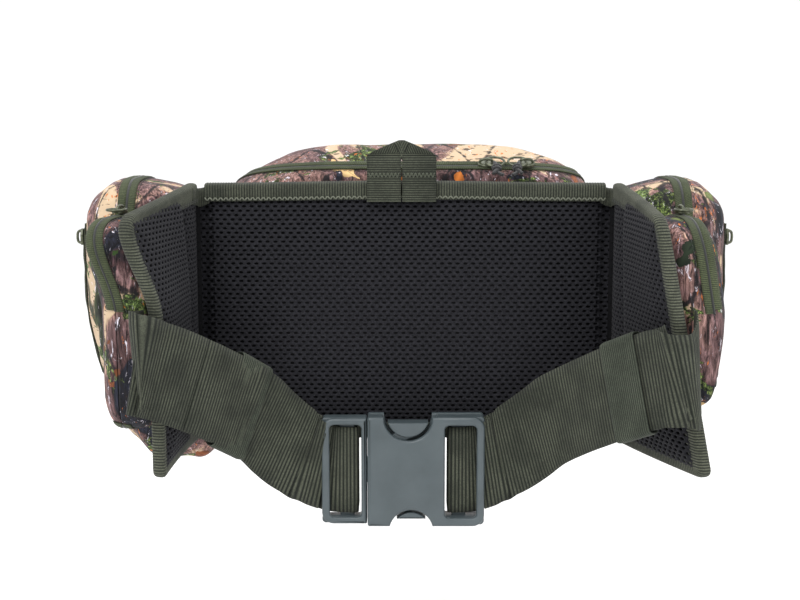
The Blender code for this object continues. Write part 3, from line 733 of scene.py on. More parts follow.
def laid_tape(name, rows, chosen, pitch, material, slot, body):
    """A tape through rows of points on a skin, with fine cross ribs."""
    fine = []
    for row in rows:
        line = row[chosen]
        lengths = np.r_[0, np.cumsum(np.linalg.norm(np.diff(line, axis=0), axis=1))]
        share = lengths / lengths[-1]
        fine.append((line, share, lengths[-1]))
    count = max(8, int(fine[0][2] / (pitch * MM / 4)))
    at = np.linspace(0, 1, count)
    grid = np.stack(
        [np.stack([np.interp(at, share, line[:, k]) for k in range(3)], 1) for line, share, _ in fine], 1
    )
    along = np.gradient(grid, axis=0)
    across = np.gradient(grid, axis=1)
    normals = np.cross(along, across)
    normals /= np.maximum(np.linalg.norm(normals, axis=2, keepdims=True), 1e-12)
    height = np.abs(np.sin(np.linspace(0, math.pi * fine[0][2] / (pitch * MM), count)))
    grid = grid + normals * (height * LAID_RIB * MM)[:, None, None]
    columns = grid.shape[1]
    index = np.arange(count * columns).reshape(count, columns)
    faces = np.stack([index[:-1, :-1], index[1:, :-1], index[1:, 1:], index[:-1, 1:]], -1).reshape(-1, 4)
    piece = new_piece(name, grid.reshape(-1, 3), faces.tolist(), material, slot)
    # The rib height, which the ribbed materials paint as shade in the grooves and a highlight on the ribs.
    store = piece.data.attributes.new("rib", "FLOAT", "POINT")
    store.data.foreach_set("value", np.repeat(height, columns).astype(np.float32))
    thicken(piece, LAID_THICK, 0.0)
    if body:
        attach(piece, body)
    return piece


def thicken(piece, thickness, offset=-1.0, inner=None):
    modifier = piece.modifiers.new("Solidify", "SOLIDIFY")
    modifier.thickness = thickness * MM
    modifier.offset = offset
    if inner is not None:
        piece.data.materials.append(inner)
        modifier.material_offset = 1
        modifier.material_offset_rim = 0


def zipped_skin(
    label, nodes, plane_point, plane_normal, hold, cap, bodies, hinge_side, folds, seed, shape, tape_nodes,
    crease, pressure=4.0, tape_wide=4.7,
):
    """A bag or pouch that a zip opens: the puffed form, cut at the zip into shell and cover, with its tapes.

    plane_normal points into the cover. hinge_side(point) is true where the cover is sewn on, without a zip.
    shape(points) gives the form its sag before it is cut. crease is the way from the cover's sewn edge into
    the cover, and a length in mm along it; the cover's cloth is not bent along it.
    """
    form = hull_of(label + "_form", nodes)
    puff(form, hold, cap, pressure)
    form.data.vertices.foreach_set("co", shape(coordinates(form)).reshape(-1))
    point, normal = Vector(plane_point), Vector(plane_normal).normalized()

    def fade(p):
        distance = abs((Vector(p) - point).dot(normal)) / MM
        return min(1.0, max(0.0, (distance - 3.0) / 14.0)) * (0.25 if hold(np.array([p]))[0] > 0.5 else 1.0)

    wrinkle(form, folds, 26.0, seed, fade)

    def follow(piece, body, rim):
        """The shell's pieces ride on it. For the cover it finds the sewn edge, the far end of its rim, then
        only applies the piece's modifiers and bakes its place; the cover's pieces are not bent there and do
        not ride on the cover.
        """
        if body == bodies[0]:
            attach(piece, body)
            return
        way, length = Vector(crease[0]).normalized(), crease[1] * MM
        sewn_edge = min((Vector(p) for p in rim), key=way.dot) + way * MM
        apply_modifiers(piece)
        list(bodies)
        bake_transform(piece)

    pieces = []
    gap = 0.25 * MM
    for part, sign, body, node, tape_node in zip(("shell", "cover"), (-1, 1), bodies, nodes, tape_nodes):
        away = normal * sign
        skin = half(form, f"{label}_{part}_cloth", point + away * gap, away)
        dress(skin, CAMO, "camo_fabric")
        loop = rim_loop(skin)
        rows = lines_beside(skin, loop, away, [tape_wide * share for share in (0.02, 0.35, 0.7, 1.0)], 0.75)
        chosen = longest_run([not hinge_side(Vector(p)) for p in loop])
        tape = laid_tape(f"{label}_{part}_zip_tape", rows, chosen, 1.1, TAPE, "zip_tape", None)
        follow(tape, body, loop)
        if tape_node:
            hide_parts(tape_node)
        beside = lines_beside(skin, loop, away, (tape_wide + 1.2,), 0.35)[0][chosen]
        runs = []
        middle = Vector(loop.mean(0))
        for start in range(0, len(beside) - 1, 2):
            piece = beside[start:start + 3]
            out = (Vector(piece[0]) - middle)
            out = out - normal * out.dot(normal)
            runs.append((piece, out))
        seam = stitches(f"{label}_{part}_stitching", runs, None, DARK_THREAD, 2.2, 0.8, 0.22, "camo_fabric")
        follow(seam, body, loop)
        smooth = skin.modifiers.new("Subdivision", "SUBSURF")
        smooth.levels = smooth.render_levels = 1
        thicken(skin, 1.3, -1.0, LINING)
        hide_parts(node)
        follow(skin, body, loop)
        pieces.append((skin, loop, chosen))
    bpy.data.objects.remove(form, do_unlink=True)
    loop, chosen = pieces[0][1], pieces[0][2]
    inner = loop[chosen]
    middle = loop.mean(0)
    inward = unit(inner - middle)
    inner = inner + inward * 0.45 * MM
    tube(f"{label}_zip_coil", inner, 0.95, COIL, "zip_tape", bodies[0], sides=8)
    return pieces


# --- main bag and pouches ---------------------------------------------------------------------------------


def near_plane(points, point, normal, reach):
    """Which points lie within reach (mm) of a plane."""
    return np.abs((points - np.array(point)) @ np.array(normal)) < reach * MM


def main_bag():
    """The main bag, cut at its sloping rim into the shell and the domed lid."""
    lid_low, lid_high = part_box("main_lid")
    shell_low, shell_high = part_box("main_bag_shell")
    near = Vector((0, lid_low.y, shell_high.z))
    far = Vector((0, lid_high.y, lid_low.z))
    slope = far - near
    normal = Vector((0, -slope.z, slope.y)).normalized()
    hinge_y = JOINTS["lid_open"]["pos_m"][1]

    def hold(points):
        sewn = near_plane(points, near, normal, 3.5)
        sewn |= points[:, 1] < shell_low.y + 1.5 * MM
        sewn |= points[:, 2] < shell_low.z + 1.5 * MM
        sewn |= np.abs(points[:, 0]) > shell_high.x - 1.5 * MM
        return sewn.astype(float)

    def hinge_side(p):
        return p.y > hinge_y - 22 * MM

    def sag(points):
        """Above the panel the bag slopes down to its ends, more on the left."""
        ends = np.clip((np.abs(points[:, 0]) - 42 * MM) / (68 * MM), 0, 1.1)
        above = np.clip((points[:, 2] - 48 * MM) / (46 * MM), 0, 1)
        points[:, 2] -= np.where(points[:, 0] < 0, 19, 7) * MM * ends**1.5 * above
        points[:, 2] += 2.5 * MM * above * (1 - np.clip(ends, 0, 1))
        return points

    nodes, bodies = ("main_bag_shell", "main_lid"), ("pack", "lid")
    tapes = ("main_zip_tape_near", "main_zip_tape_far")
    crease = (normal - Vector((0, 1, 0)), 14)
    zipped_skin(
        "main_bag", nodes, near, normal, hold, 6, bodies, hinge_side, 1.5, 3.0, sag, tapes, crease,
        pressure=5.0, tape_wide=3.4,
    )


def side_pouch(side, name):
    low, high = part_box(f"{name}_pouch_cover")
    shell_low, shell_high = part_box(f"{name}_pouch_shell")
    rim_x = low.x if side > 0 else high.x
    root_x = shell_low.x if side > 0 else shell_high.x
    point, normal = Vector((rim_x, 0, 0)), Vector((side, 0, 0))
    hinge_z = JOINTS[f"{name}_pouch_open"]["pos_m"][2]
    droop_in, droop_down = (17, 10) if side < 0 else (26, -12)

    def hold(points):
        sewn = near_plane(points, point, normal, 3.5) | near_plane(points, (root_x, 0, 0), normal, 3.0)
        return sewn.astype(float)

    def hinge_side(p):
        return p.z < hinge_z + 12 * MM

    def sag(points):
        """The pouch slopes down from its hump to the bag, and droops at the bottom of its outer face."""
        share = np.clip((np.abs(points[:, 0]) - abs(root_x)) / abs(rim_x - root_x), 0, 1.4)
        top = np.clip(points[:, 2] / shell_high.z, 0, 1)
        points[:, 2] -= 13 * MM * top**2 * np.clip(1 - share, 0, 1) ** 1.3
        points[:, 2] -= 4 * MM * top**4 * np.clip(share - 1, 0, 1)
        low_share = np.clip((5 * MM - points[:, 2]) / (87 * MM), 0, 1.1)
        points[:, 0] -= side * droop_in * MM * low_share**1.5 * share
        points[:, 2] -= droop_down * MM * low_share**1.6
        return points

    nodes = (f"{name}_pouch_shell", f"{name}_pouch_cover")
    bodies = ("pack", f"{name}_pouch_lid")
    tapes = (f"{name}_pouch_zip_tape", None)
    crease = ((side, 0, 1), 22)
    pieces = zipped_skin(
        f"{name}_pouch", nodes, point, normal, hold, 5, bodies, hinge_side, 2.2, 11.0 + side, sag, tapes,
        crease,
    )
    outer_zip(side, name, pieces[1][0])


def outer_zip(side, name, cloth):
    """The short upright zip on a side pouch's outer face."""
    low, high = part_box(f"{name}_pouch_outer_zip_tape")
    tree = surface_tree(cloth)
    outside = Vector((side, 0, 0))

    def line(y, lift):
        points = []
        for z in np.linspace(low.z, high.z, 40):
            hit = tree.ray_cast(Vector((side * 0.3, y, z)), -outside)[0]
            points.append(tuple(hit + outside * lift * MM))
        return np.array(points)

    middle = (low.y + high.y) / 2
    rows = [line(middle + share * 4.6 * MM, 0.9) for share in (-1, -0.35, 0.35, 1)]
    lid = f"{name}_pouch_lid"
    tape = laid_tape(f"{name}_pouch_outer_tape", rows, slice(None), 1.1, TAPE, "zip_tape", lid)
    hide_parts(f"{name}_pouch_outer_zip_tape")
    tube(f"{name}_pouch_outer_coil", line(middle, 1.3), 0.75, COIL, "zip_tape", lid, sides=8)
    runs = [(line(middle + share * 6.0 * MM, 0.6), outside) for share in (-1, 1)]
    stitches(f"{name}_pouch_outer_stitching", runs, lid, DARK_THREAD, 2.2, 0.8, 0.22, "camo_fabric")
    slider_low, slider_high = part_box(f"{name}_pouch_outer_slider")
    z = (slider_low.z + slider_high.z) / 2
    hit = tree.ray_cast(Vector((side * 0.3, middle, z)), -outside)[0] + outside * 1.4 * MM
    place = Matrix((Vector((0, 0, -1)), Vector((0, -side, 0)), outside)).transposed().to_4x4()
    place.translation = hit
    zip_slider(f"{name}_pouch_outer_slider", place, f"{name}_pouch_outer_zip")


def wing_axes(side, name):
    """A wing's hinge point at its middle height, and its along and outward directions."""
    hinge = Vector(JOINTS[f"{name}_wing_spread"]["pos_m"])
    tip = Vector(JOINTS[f"{name}_belt_bend"]["pos_m"])
    along = Vector((tip.x - hinge.x, tip.y - hinge.y, 0)).normalized()
    out = Vector((-along.y, along.x, 0))
    if out.x * side < 0:
        out = -out
    return Vector((hinge.x, hinge.y, 0)), along, out


def wing_place(side, name):
    hinge, along, out = wing_axes(side, name)

    def place(a, n, z):
        return hinge + along * a * MM + out * n * MM + Vector((0, 0, z * MM))

    return place


def wing_pocket(side, name):
    hinge, along, out = wing_axes(side, name)
    pivot = Vector(JOINTS[f"{name}_wing_pocket_open"]["pos_m"])
    shell = np.array([tuple(v.co) for v in frame["nodes"][f"{name}_wing_pocket_shell"].data.vertices])
    root = min((shell - np.array(hinge)) @ np.array(out))
    root_point = hinge + out * root
    edge = (pivot - hinge).dot(along)
    tuck, rise = (11, 12) if side > 0 else (0, 0)

    def hold(points):
        return (near_plane(points, pivot, out, 3.0) | near_plane(points, root_point, out, 2.5)).astype(float)

    def hinge_side(p):
        return (p - hinge).dot(along) > edge - 7 * MM and p.z < 10 * MM

    def sag(points):
        """The right pocket tucks in and rises towards its bottom."""
        low_share = np.clip((10 * MM - points[:, 2]) / (65 * MM), 0, 1.1)
        height = (points - np.array(root_point)) @ np.array(out)
        share = np.clip(height / (pivot - root_point).dot(out), 0, 1.5)
        points -= np.array(out) * ((share * low_share**1.3)[:, None] * tuck * MM)
        points[:, 2] += rise * MM * low_share**1.5
        return points

    nodes = (f"{name}_wing_pocket_shell", f"{name}_wing_pocket_cover")
    bodies = (f"{name}_wing", f"{name}_wing_pocket_lid")
    tapes = (f"{name}_wing_pocket_zip_tape", None)
    crease = (out - along, 10)
    zipped_skin(
        f"{name}_wing_pocket", nodes, pivot, out, hold, 5, bodies, hinge_side, 1.3, 21.0 + side, sag, tapes,
        crease,
    )


# --- zip sliders, rings and cords -------------------------------------------------------------------------


def rounded_polygon(corners, steps=5):
    """An outline in mm whose corners (u, v, radius) are rounded by arcs."""
    points = []
    for i, (u, v, radius) in enumerate(corners):
        here = Vector((u, v))
        if radius < 0.05:
            points.append(here)
            continue
        before = (Vector(corners[i - 1][:2]) - here).normalized()
        after = (Vector(corners[(i + 1) % len(corners)][:2]) - here).normalized()
        bend = before.angle(after) / 2
        first, last = here + before * radius / math.tan(bend), here + after * radius / math.tan(bend)
        centre = here + (before + after).normalized() * radius / math.sin(bend)
        for k in range(steps + 1):
            ray = (first - centre) * (1 - k / steps) + (last - centre) * (k / steps)
            points.append(centre + ray.normalized() * radius)
    return points


ARC_STEPS = 16


def arc(u, v, radius, start, end):
    """Corners on an arc, with angles in degrees."""
    angles = [math.radians(start + (end - start) * k / ARC_STEPS) for k in range(ARC_STEPS + 1)]
    return [(u + radius * math.cos(angle), v + radius * math.sin(angle), 0) for angle in angles]


def signed_area(outline):
    following = outline[1:] + outline[:1]
    return sum(a[0] * b[1] - a[1] * b[0] for a, b in zip(outline, following)) / 2


def moulded(name, outlines, low, high, edge, place, material, slot, body):
    """A plate with rounded edges: an outer outline and its holes in mm, from low to high along place's z."""
    curve = bpy.data.curves.new(name, "CURVE")
    curve.dimensions = "2D"
    curve.fill_mode = "BOTH"
    curve.extrude = (high - low) / 2 - edge
    curve.bevel_depth = edge
    curve.bevel_resolution = 3
    curve.offset = -edge
    for number, outline in enumerate(outlines):
        if (signed_area(outline) > 0) == (number > 0):
            outline = outline[::-1]
        spline = curve.splines.new("POLY")
        spline.points.add(len(outline) - 1)
        for point, p in zip(spline.points, outline):
            point.co = (p[0], p[1], 0, 1)
        spline.use_cyclic_u = True
    source = bpy.data.objects.new(name, curve)
    bpy.context.scene.collection.objects.link(source)
    bpy.context.view_layer.update()
    data = bpy.data.meshes.new_from_object(source.evaluated_get(bpy.context.evaluated_depsgraph_get()))
    bpy.data.objects.remove(source, do_unlink=True)
    mesh = bmesh.new()
    mesh.from_mesh(data)
    bmesh.ops.remove_doubles(mesh, verts=mesh.verts, dist=0.001)
    for vertex in mesh.verts:
        vertex.co = place @ (Vector((vertex.co.x, vertex.co.y, vertex.co.z + (low + high) / 2)) * MM)
    bmesh.ops.recalc_face_normals(mesh, faces=mesh.faces)
    mesh.to_mesh(data)
    mesh.free()
    piece = bpy.data.objects.new(name, data)
    bpy.context.scene.collection.objects.link(piece)
    dress(piece, material, slot, body)
    data.set_sharp_from_angle(angle=math.radians(50))
    return piece


def in_place(place, points):
    return [place @ (Vector(p) * MM) for p in points]


def zip_slider(name, place, body):
    """A cast slider: a shield-shaped plate over the coil, its nose between the zip's halves, and a bridge."""
    shield = [(-5.0, -1.8, 0.8), (-1.5, -3.6, 1.5), (4.2, -3.3, 1.0), (4.8, -1.6, 0.5), (3.6, 0, 0.5)]
    shield += [(u, -v, r) for u, v, r in shield[3::-1]]
    piece = moulded(name, [rounded_polygon(shield)], 0.2, 1.9, 0.45, place, METAL, "zip_metal", body)
    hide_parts(name)
    bridge = [(-4.0, 0, 1.2), (-3.4, 0, 3.2), (-1.8, 0, 4.1), (1.8, 0, 4.1), (3.2, 0, 3.3), (3.8, 0, 1.2)]
    tube(name + "_bridge", smooth_path(in_place(place, bridge), 5), 0.8, METAL, "zip_metal", body)


# How high a ring's hinge lies over its slider's foot, in mm, and the ring's outline: (u, v, corner radius).
RING_SEAT = 2.45
RING_OUTLINE = [(-0.1, -4.4, 3.2), (10.4, -5.0, 4.7), (10.4, 5.0, 4.7), (-0.1, 4.4, 3.2)]
CORD_RADIUS, CORD_BRAID = 1.0, (1.6, 0.12)


def pull_ring(ring, joint, body, slider, slider_body, outside):
    """The slider and its wire pull ring; outside points roughly away from the pack."""
    hinge = Vector(JOINTS[joint]["pos_m"])
    across = Vector(JOINTS[joint]["axis"]).normalized()
    low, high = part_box(ring)
    along = (low + high) / 2 - hinge
    along = (along - across * along.dot(across)).normalized()
    out = along.cross(across).normalized()
    if out.dot(Vector(outside)) < 0:
        across, out = -across, -out
    place = Matrix((along, out.cross(along), out)).transposed().to_4x4()
    place.translation = hinge - out * RING_SEAT * MM
    zip_slider(slider, place, slider_body)
    loop = [(*p, RING_SEAT) for p in rounded_polygon(RING_OUTLINE, 8)]
    wire = tube(ring + "_wire", in_place(place, loop), 0.68, METAL, "zip_metal", body, closed=True)
    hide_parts(ring)
    return place


def pull_cord(node, place, lean, body):
    """A thick braided cord, hitched round the ring's side, with two tails that cross and hang."""
    tails = (
        [(4.4, 3.0, 3.8), (4.9, 5.6, 4.3), (4.2, 8.0, 3.0), (6.2, 11.5, 2.2), (8.8, 14.6, 2.6)],
        [(6.6, 3.0, 1.4), (6.4, 5.6, 0.9), (6.8, 8.0, 2.6), (4.8, 11.2, 3.2), (3.2, 13.4, 2.8)],
    )
    finish = (CORD_RADIUS, CORD, "pull_cord", body)
    for number, tail in enumerate(tails):
        route = in_place(place, [(u, lean * v, w) for u, v, w in tail])
        piece = tube(f"{node}_tail_{number}", smooth_path(route, 8), *finish, twist=CORD_BRAID)
        if number == 0:
            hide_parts(node)
    for number, (v, size) in enumerate(((6.3, 2.0), (8.2, 1.7))):
        ring = []
        for k in range(12):
            c, s = math.cos(2 * math.pi * k / 12), math.sin(2 * math.pi * k / 12)
            ring.append((5.6 + size * c, lean * (v + 0.5 * s), 2.5 + size * s))
        tube(f"{node}_knot_{number}", in_place(place, ring), *finish, closed=True, twist=CORD_BRAID)


def zip_pulls():
    """Every slider with a ring, and the cords on the main zip's two rings."""
    for number, lean in ((1, -1), (2, 1)):
        place = pull_ring(
            f"main_zip_ring_{number}", f"main_ring_{number}_lift", f"main_ring_{number}",
            f"main_zip_slider_{number}", f"main_slider_{number}", (0, -0.4, 1),
        )
        pull_cord(f"main_zip_cord_{number}", place, lean, f"main_ring_{number}")
    for _, name in SIDES:
        pull_ring(
            f"{name}_pouch_zip_ring", f"{name}_pouch_pull_lift", f"{name}_pouch_pull", f"{name}_pouch_slider",
            f"{name}_pouch_zip", (0, -1, 0),
        )
        pull_ring(
            f"{name}_wing_pocket_zip_ring", f"{name}_wing_pocket_pull_lift", f"{name}_wing_pocket_pull",
            f"{name}_wing_pocket_slider", f"{name}_wing_pocket_zip", (0, 0, 1),
        )


# --- webbing belt, keepers and handle ---------------------------------------------------------------------

# All in mm. A number that ends in AT or FROM counts points along belt_line's path.
BELT_WIDE, BELT_THICK, RIB_PITCH, BELT_RIB = 49.5, 1.5, 2.0, 0.3
# Half the gap between the two layers, and the front layer's bulge beside the buckle.
LAYER_HALF_GAP, BULGE, BULGE_AT, BULGE_WIDTH = 1.25, 4.5, 20.6, 1.7
# The layers part from SPREAD_FROM on, to go round the buckle's bar.
SPREAD_FROM, TURN_X, TURN_RADIUS, BAR_Y = 24, 28.4, 3.0, 1.0
# How far the fold at each wing's tip lies up and inwards, and its tilt.
FOLD_LIFT = {-1: 2.5, 1: -9.0}
FOLD_IN = {-1: 0.0, 1: 4.5}
FOLD_TILT = {-1: 0.08, 1: -0.12}
# How much of that each following point of the front layer keeps, and how far inwards the left one lies.
FOLD_FADE = ((0.9, 11.0), (0.75, 9.0), (0.6, 7.0), (0.4, 5.0), (0.2, 3.0), (0.1, 1.5))
# Where the webbing is sewn to the wing and leaves it: along the wing, off its middle, and the fold's share.
SEWN = ((89.5, 7.8, 0), (95, 7.8, 0.15), (101, 7.7, 0.5), (106, 6.8, 0.85), (109.6, 4.6, 1))
KEEPER_AT, KEEPER_HALF = {-1: 15, 1: 9}, (26.2, 3.2)
# How far each knot of the path is lifted, until the lift fades out towards the buckle.
LIFTS = {-1: (0, 2, 4.5, 7, 10, 12, 0, 0), 1: (0, -2, 0, 3.5, 7.5, 12, 0, 0)}
LEVEL_FROM = 20.8
# The pleat beside the buckle: point of the path, and how far off it.
PLEAT = (
    (24, 2.6), (23, 3.2), (22, 3.6), (21.3, 3.8), (20.9, 5.2), (21.3, 6.8), (22, 6.9), (23, 5.8), (24, 4.2),
)
OVERLAP = range(10, 17)
KNOT_STEPS = 4


def buckle_middle():
    """The buckle's middle in mm."""
    male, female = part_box("buckle_male_frame"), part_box("buckle_female_housing")
    return Vector((male[0].x + female[1].x, female[0].y + female[1].y, female[0].z + female[1].z)) / 2 / MM


def belt_line(side, name):
    """The webbing's middle line in mm, from its fold at the wing's tip to the buckle's bar."""
    x, y, z = Vector(JOINTS[f"{name}_belt_bend"]["pos_m"]) / MM
    x = abs(x)
    middle = buckle_middle()
    turn = Vector((TURN_X + side * middle.x, middle.y + BAR_Y, middle.z))
    knots = [(x + 2.5, y - 5.5, z), (x - 8, y - 5, z - 3), (x - 22, y + 10, z - 13), (x - 40, y + 34, z - 30)]
    knots += [(x - 56, y + 54, z - 47), turn + Vector((33, -2, 6)), turn + Vector((15.5, 0, 0.8)), turn]
    line = []
    for i, p in enumerate(smooth_path(knots, KNOT_STEPS)):
        knot, share = i // KNOT_STEPS, i % KNOT_STEPS / KNOT_STEPS
        lift = LIFTS[side][knot] * (1 - share) + LIFTS[side][min(knot + 1, len(knots) - 1)] * share
        lift *= min(1, max(0, (LEVEL_FROM - i) / 4))
        lift += 5.0 * math.exp(-(((i - 21.3) / 2.2) ** 2))
        line.append(Vector((side * p.x, p.y, p.z + lift)))
    return line


def belt_directions(path, i):
    """The webbing's along, across and outward directions at a point of its middle line."""
    along = (path[min(i + 1, len(path) - 1)] - path[max(i - 1, 0)]).normalized()
    share = i / (len(path) - 1)
    across = (Vector((0, 0, 1)) - along * along.z * (1 - share**4)).normalized()
    if path[0].x > 0:
        across = Vector((across.x * 0.6, across.y, across.z)).normalized()
    out = along.cross(across).normalized()
    return along, across, out if out.y < 0 else -out


def belt(side, name):
    """One length of webbing: from the wing's outer face, round its tip, and doubled to the buckle's bar."""
    path = belt_line(side, name)
    front, rear = [], []
    for i, point in enumerate(path):
        along, across, out = belt_directions(path, i)
        short = 1 - max(0.0, (i - SPREAD_FROM) / (len(path) - 1 - SPREAD_FROM))
        near = TURN_RADIUS - (TURN_RADIUS - LAYER_HALF_GAP) * short**2
        bulge = BULGE * math.exp(-(((i - BULGE_AT) / BULGE_WIDTH) ** 2))
        front.append((point + out * (near + bulge), across))
        rear.append((point - out * near, across))
    turn = []
    for k in range(1, 6):
        angle = math.pi * k / 6
        turn.append((path[-1] + (out * math.cos(angle) + along * math.sin(angle)) * TURN_RADIUS, across))
    place = wing_place(side, name)
    fold_z = JOINTS[f"{name}_belt_bend"]["pos_m"][2] / MM
    knots = []
    for a, n, share in SEWN:
        curl = wing_lean(side, fold_z) * (a / WING_SPAN[1]) ** 1.5 * (1 - 0.25 * share)
        shift = Vector((-side * (curl + FOLD_IN[side] * share), 0, FOLD_LIFT[side] * share))
        across = Vector((side * FOLD_TILT[side] * share, 0, 1)).normalized()
        knots.append((place(a, n, fold_z) / MM + shift, across))
    for i, (fold_share, curl) in enumerate(FOLD_FADE):
        point, across = front[i]
        tilted = across + Vector((side * max(0, FOLD_TILT[side]) * fold_share, 0, 0))
        inwards = curl if side < 0 else FOLD_IN[side] * fold_share
        shift = Vector((-side * inwards, -1.0 * fold_share, FOLD_LIFT[side] * fold_share))
        front[i] = (point + shift, tilted.normalized())
    knots += front + turn + rear[:2:-1]
    line = [p * MM for p in smooth_path([p for p, across in knots], KNOT_STEPS)]
    at = np.linspace(0, len(knots) - 1, len(line))
    across = np.stack([np.interp(at, range(len(knots)), [a[k] for _, a in knots]) for k in range(3)], 1)
    distance = np.r_[0, np.cumsum([(b - a).length for a, b in zip(line, line[1:])])]
    first, last = 2 * KNOT_STEPS, (len(SEWN) + 1) * KNOT_STEPS
    leaves, lands = distance[first], distance[last]
    common = (line, across, BELT_WIDE, BELT_THICK, RIB_PITCH, WEBBING, "webbing")
    anchor = strip(f"{name}_anchor_webbing", *common, body=f"{name}_wing", rib=BELT_RIB, span=(0, leaves))
    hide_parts(f"{name}_belt_anchor")
    fold = strip(f"{name}_fold_webbing", *common, rib=BELT_RIB, span=(leaves, lands))
    tuple(line[first])
    tuple(line[last])
    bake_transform(fold)
    rest = (lands, distance[-1])
    strap = strip(f"{name}_belt_webbing", *common, body=f"{name}_belt", rib=BELT_RIB, span=rest)
    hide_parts(f"{name}_belt_strap")
    keeper(side, name, path)
    if side < 0:
        overlap(name, path)
    slack_fold(name, path)


def overlap(name, path):
    """The webbing's free end, which lies over the strap."""
    line, widths = [], []
    for i in OVERLAP:
        _, across, out = belt_directions(path, i)
        line.append(path[i] + out * (LAYER_HALF_GAP + (1.9 if i > OVERLAP[0] else 0.9)))
        widths.append(across)
    line = [p * MM for p in smooth_path(line, KNOT_STEPS)]
    widths = [widths[min(len(OVERLAP) - 1, round(k / KNOT_STEPS))] for k in range(len(line))]
    finish = (BELT_THICK, RIB_PITCH, WEBBING, "webbing", f"{name}_belt", BELT_RIB)
    strip(f"{name}_belt_overlap", line, widths, BELT_WIDE - 0.4, *finish)


def slack_fold(name, path):
    """A pleat of slack webbing that stands up just beside the buckle."""
    line, widths = [], []
    for i, lift in PLEAT:
        k = int(i)
        _, across, out = belt_directions(path, k)
        line.append((path[k].lerp(path[min(k + 1, len(path) - 1)], i - k) + out * lift) * MM)
        widths.append(across)
    at = np.linspace(0, len(line) - 1, KNOT_STEPS * (len(line) - 1) + 1)
    across = np.stack([np.interp(at, range(len(line)), [a[k] for a in widths]) for k in range(3)], 1)
    finish = (1.3, RIB_PITCH, WEBBING, "webbing", f"{name}_belt", BELT_RIB)
    strip(f"{name}_belt_pleat", smooth_path(line, KNOT_STEPS), across, BELT_WIDE - 1.0, *finish)


def keeper(side, name, path):
    """An elastic loop round both layers of the webbing, ribbed along its length."""
    at = KEEPER_AT[side]
    along, across, out = belt_directions(path, at)
    half_u, half_v = KEEPER_HALF
    section = rounded((-half_u, -half_v), (half_u, half_v), 2.4, 5, 10)
    loop = [(path[at] + across * u + out * v) * MM for u, v in section]
    piece = strip(
        f"{name}_keeper_elastic", loop, [along] * len(loop), 25.0, 1.0, 1.4, ELASTIC, "elastic",
        f"{name}_keeper", 0.22, closed=True, lengthwise=True,
    )
    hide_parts(f"{name}_belt_keeper")


def handle():
    """The grab handle: two legs of webbing side by side, and the loop that rises to a peak behind them."""
    low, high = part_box("handle_loop")
    sewn_low, sewn_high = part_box("handle_sewn_ends")
    middle, wide = (low.x + high.x) / 2, (high.x - low.x) / 2
    peak, shoulder = high.z + 2.0 * MM, high.z - 6.5 * MM
    start, pivot_low, pivot_high = sewn_low.z, sewn_high.z, low.z

    def roofed(piece, top, fall, round_back):
        """Cuts the webbing to a sloping top and rounds it backwards there."""
        points = coordinates(piece)
        points[:, 0] = np.clip(points[:, 0], middle - wide, middle + wide)
        aside = np.abs(points[:, 0] - middle) / wide
        points[:, 2] = np.minimum(points[:, 2], top - fall * aside**1.1)
        over = np.clip((points[:, 2] - (top - fall - 6 * MM)) / (6 * MM), 0, 1.5)
        points[:, 1] += round_back * over**2
        piece.data.vertices.foreach_set("co", points.reshape(-1))
        piece.data.update()

    for layer, y in enumerate((low.y + 0.9 * MM, high.y - 0.9 * MM)):
        for sign, label in SIDES:
            x = middle + sign * (wide + 0.3 * MM) / 2
            path = [(x, y, z) for z in np.linspace(start, high.z, 12)]
            name = f"handle_leg_{layer}_{label}"
            common = (path, [(1, 0, 0)] * len(path), wide / MM - 0.4, 1.4, 1.3, WEBBING, "webbing")
            ends = strip(name + "_end", *common, body="pack", rib=0.2, span=(0, pivot_low - start))
            bend = strip(name + "_bend", *common, rib=0.2, span=(pivot_low - start, pivot_high - start))
            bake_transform(bend)
            leg = strip(name, *common, body="handle", rib=0.2, span=(pivot_high - start, high.z - start))
            roofed(leg, shoulder + 0.8 * MM, 1.0 * MM, 1.6 * MM if layer == 0 else -0.6 * MM)
            if layer == 0 and sign < 0:
                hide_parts("handle_sewn_ends")
                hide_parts("handle_loop")
    y = high.y + 0.6 * MM
    for sign, label in SIDES:
        path = []
        for u in np.linspace(0, 0.985, 10):
            path.append((middle + sign * u * wide, y - 1.8 * MM * (1 - u), shoulder - 2 * MM))
        lean = Vector((-sign * 0.45, 0, 1)).normalized()
        finish = (22.0, 1.2, 1.3, WEBBING, "webbing", "handle", 0.2)
        crossing = strip(f"handle_fold_{label}", path, [lean] * len(path), *finish)
        roofed(crossing, peak, peak - shoulder, 0.0)
    for sign, label in SIDES:
        runs = []
        x = middle + sign * (wide + 0.3 * MM) / 2
        reach = wide / 2 - 1.2 * MM
        y = low.y - 0.15 * MM
        for k in range(16):
            share = -1 + k / 8
            levels = (low.z + 0.6 * MM, low.z + 3.4 * MM)[::1 if k % 2 else -1]
            ends = [(x + reach * share, y, levels[0]), (x + reach * (share + 0.125), y, levels[1])]
            runs.append((ends, (0, -1, 0)))
        stitches(f"handle_bartack_{label}", runs, "handle", long=3.0, gap=0.05, radius=0.32)


# --- buckle -----------------------------------------------------------------------------------------------

# All in mm, from the buckle's middle: x towards the female end, and z up. A notch is (x, z, radius).
END, SEAM, HALF_Z, THICK = 45.8, -20.0, 31.5, 15.0
WINDOW_FROM, END_BAR, END_BAR_BACK, WINDOW_HALF_Z = 23.5, 4.5, -2.2, 26.6
BAR_MIDDLE, BAR_HALF_X, BAR_HALF_Y = 31.5, 4.0, 1.2
TOP_NOTCH, LOW_NOTCH = (2.8, 31.5, 13.6), (4.6, -34.5, 12.4)
OUTER_CORNER, CLAW_CORNER, WINDOW_CORNER = 6.5, 2.2, 2.4


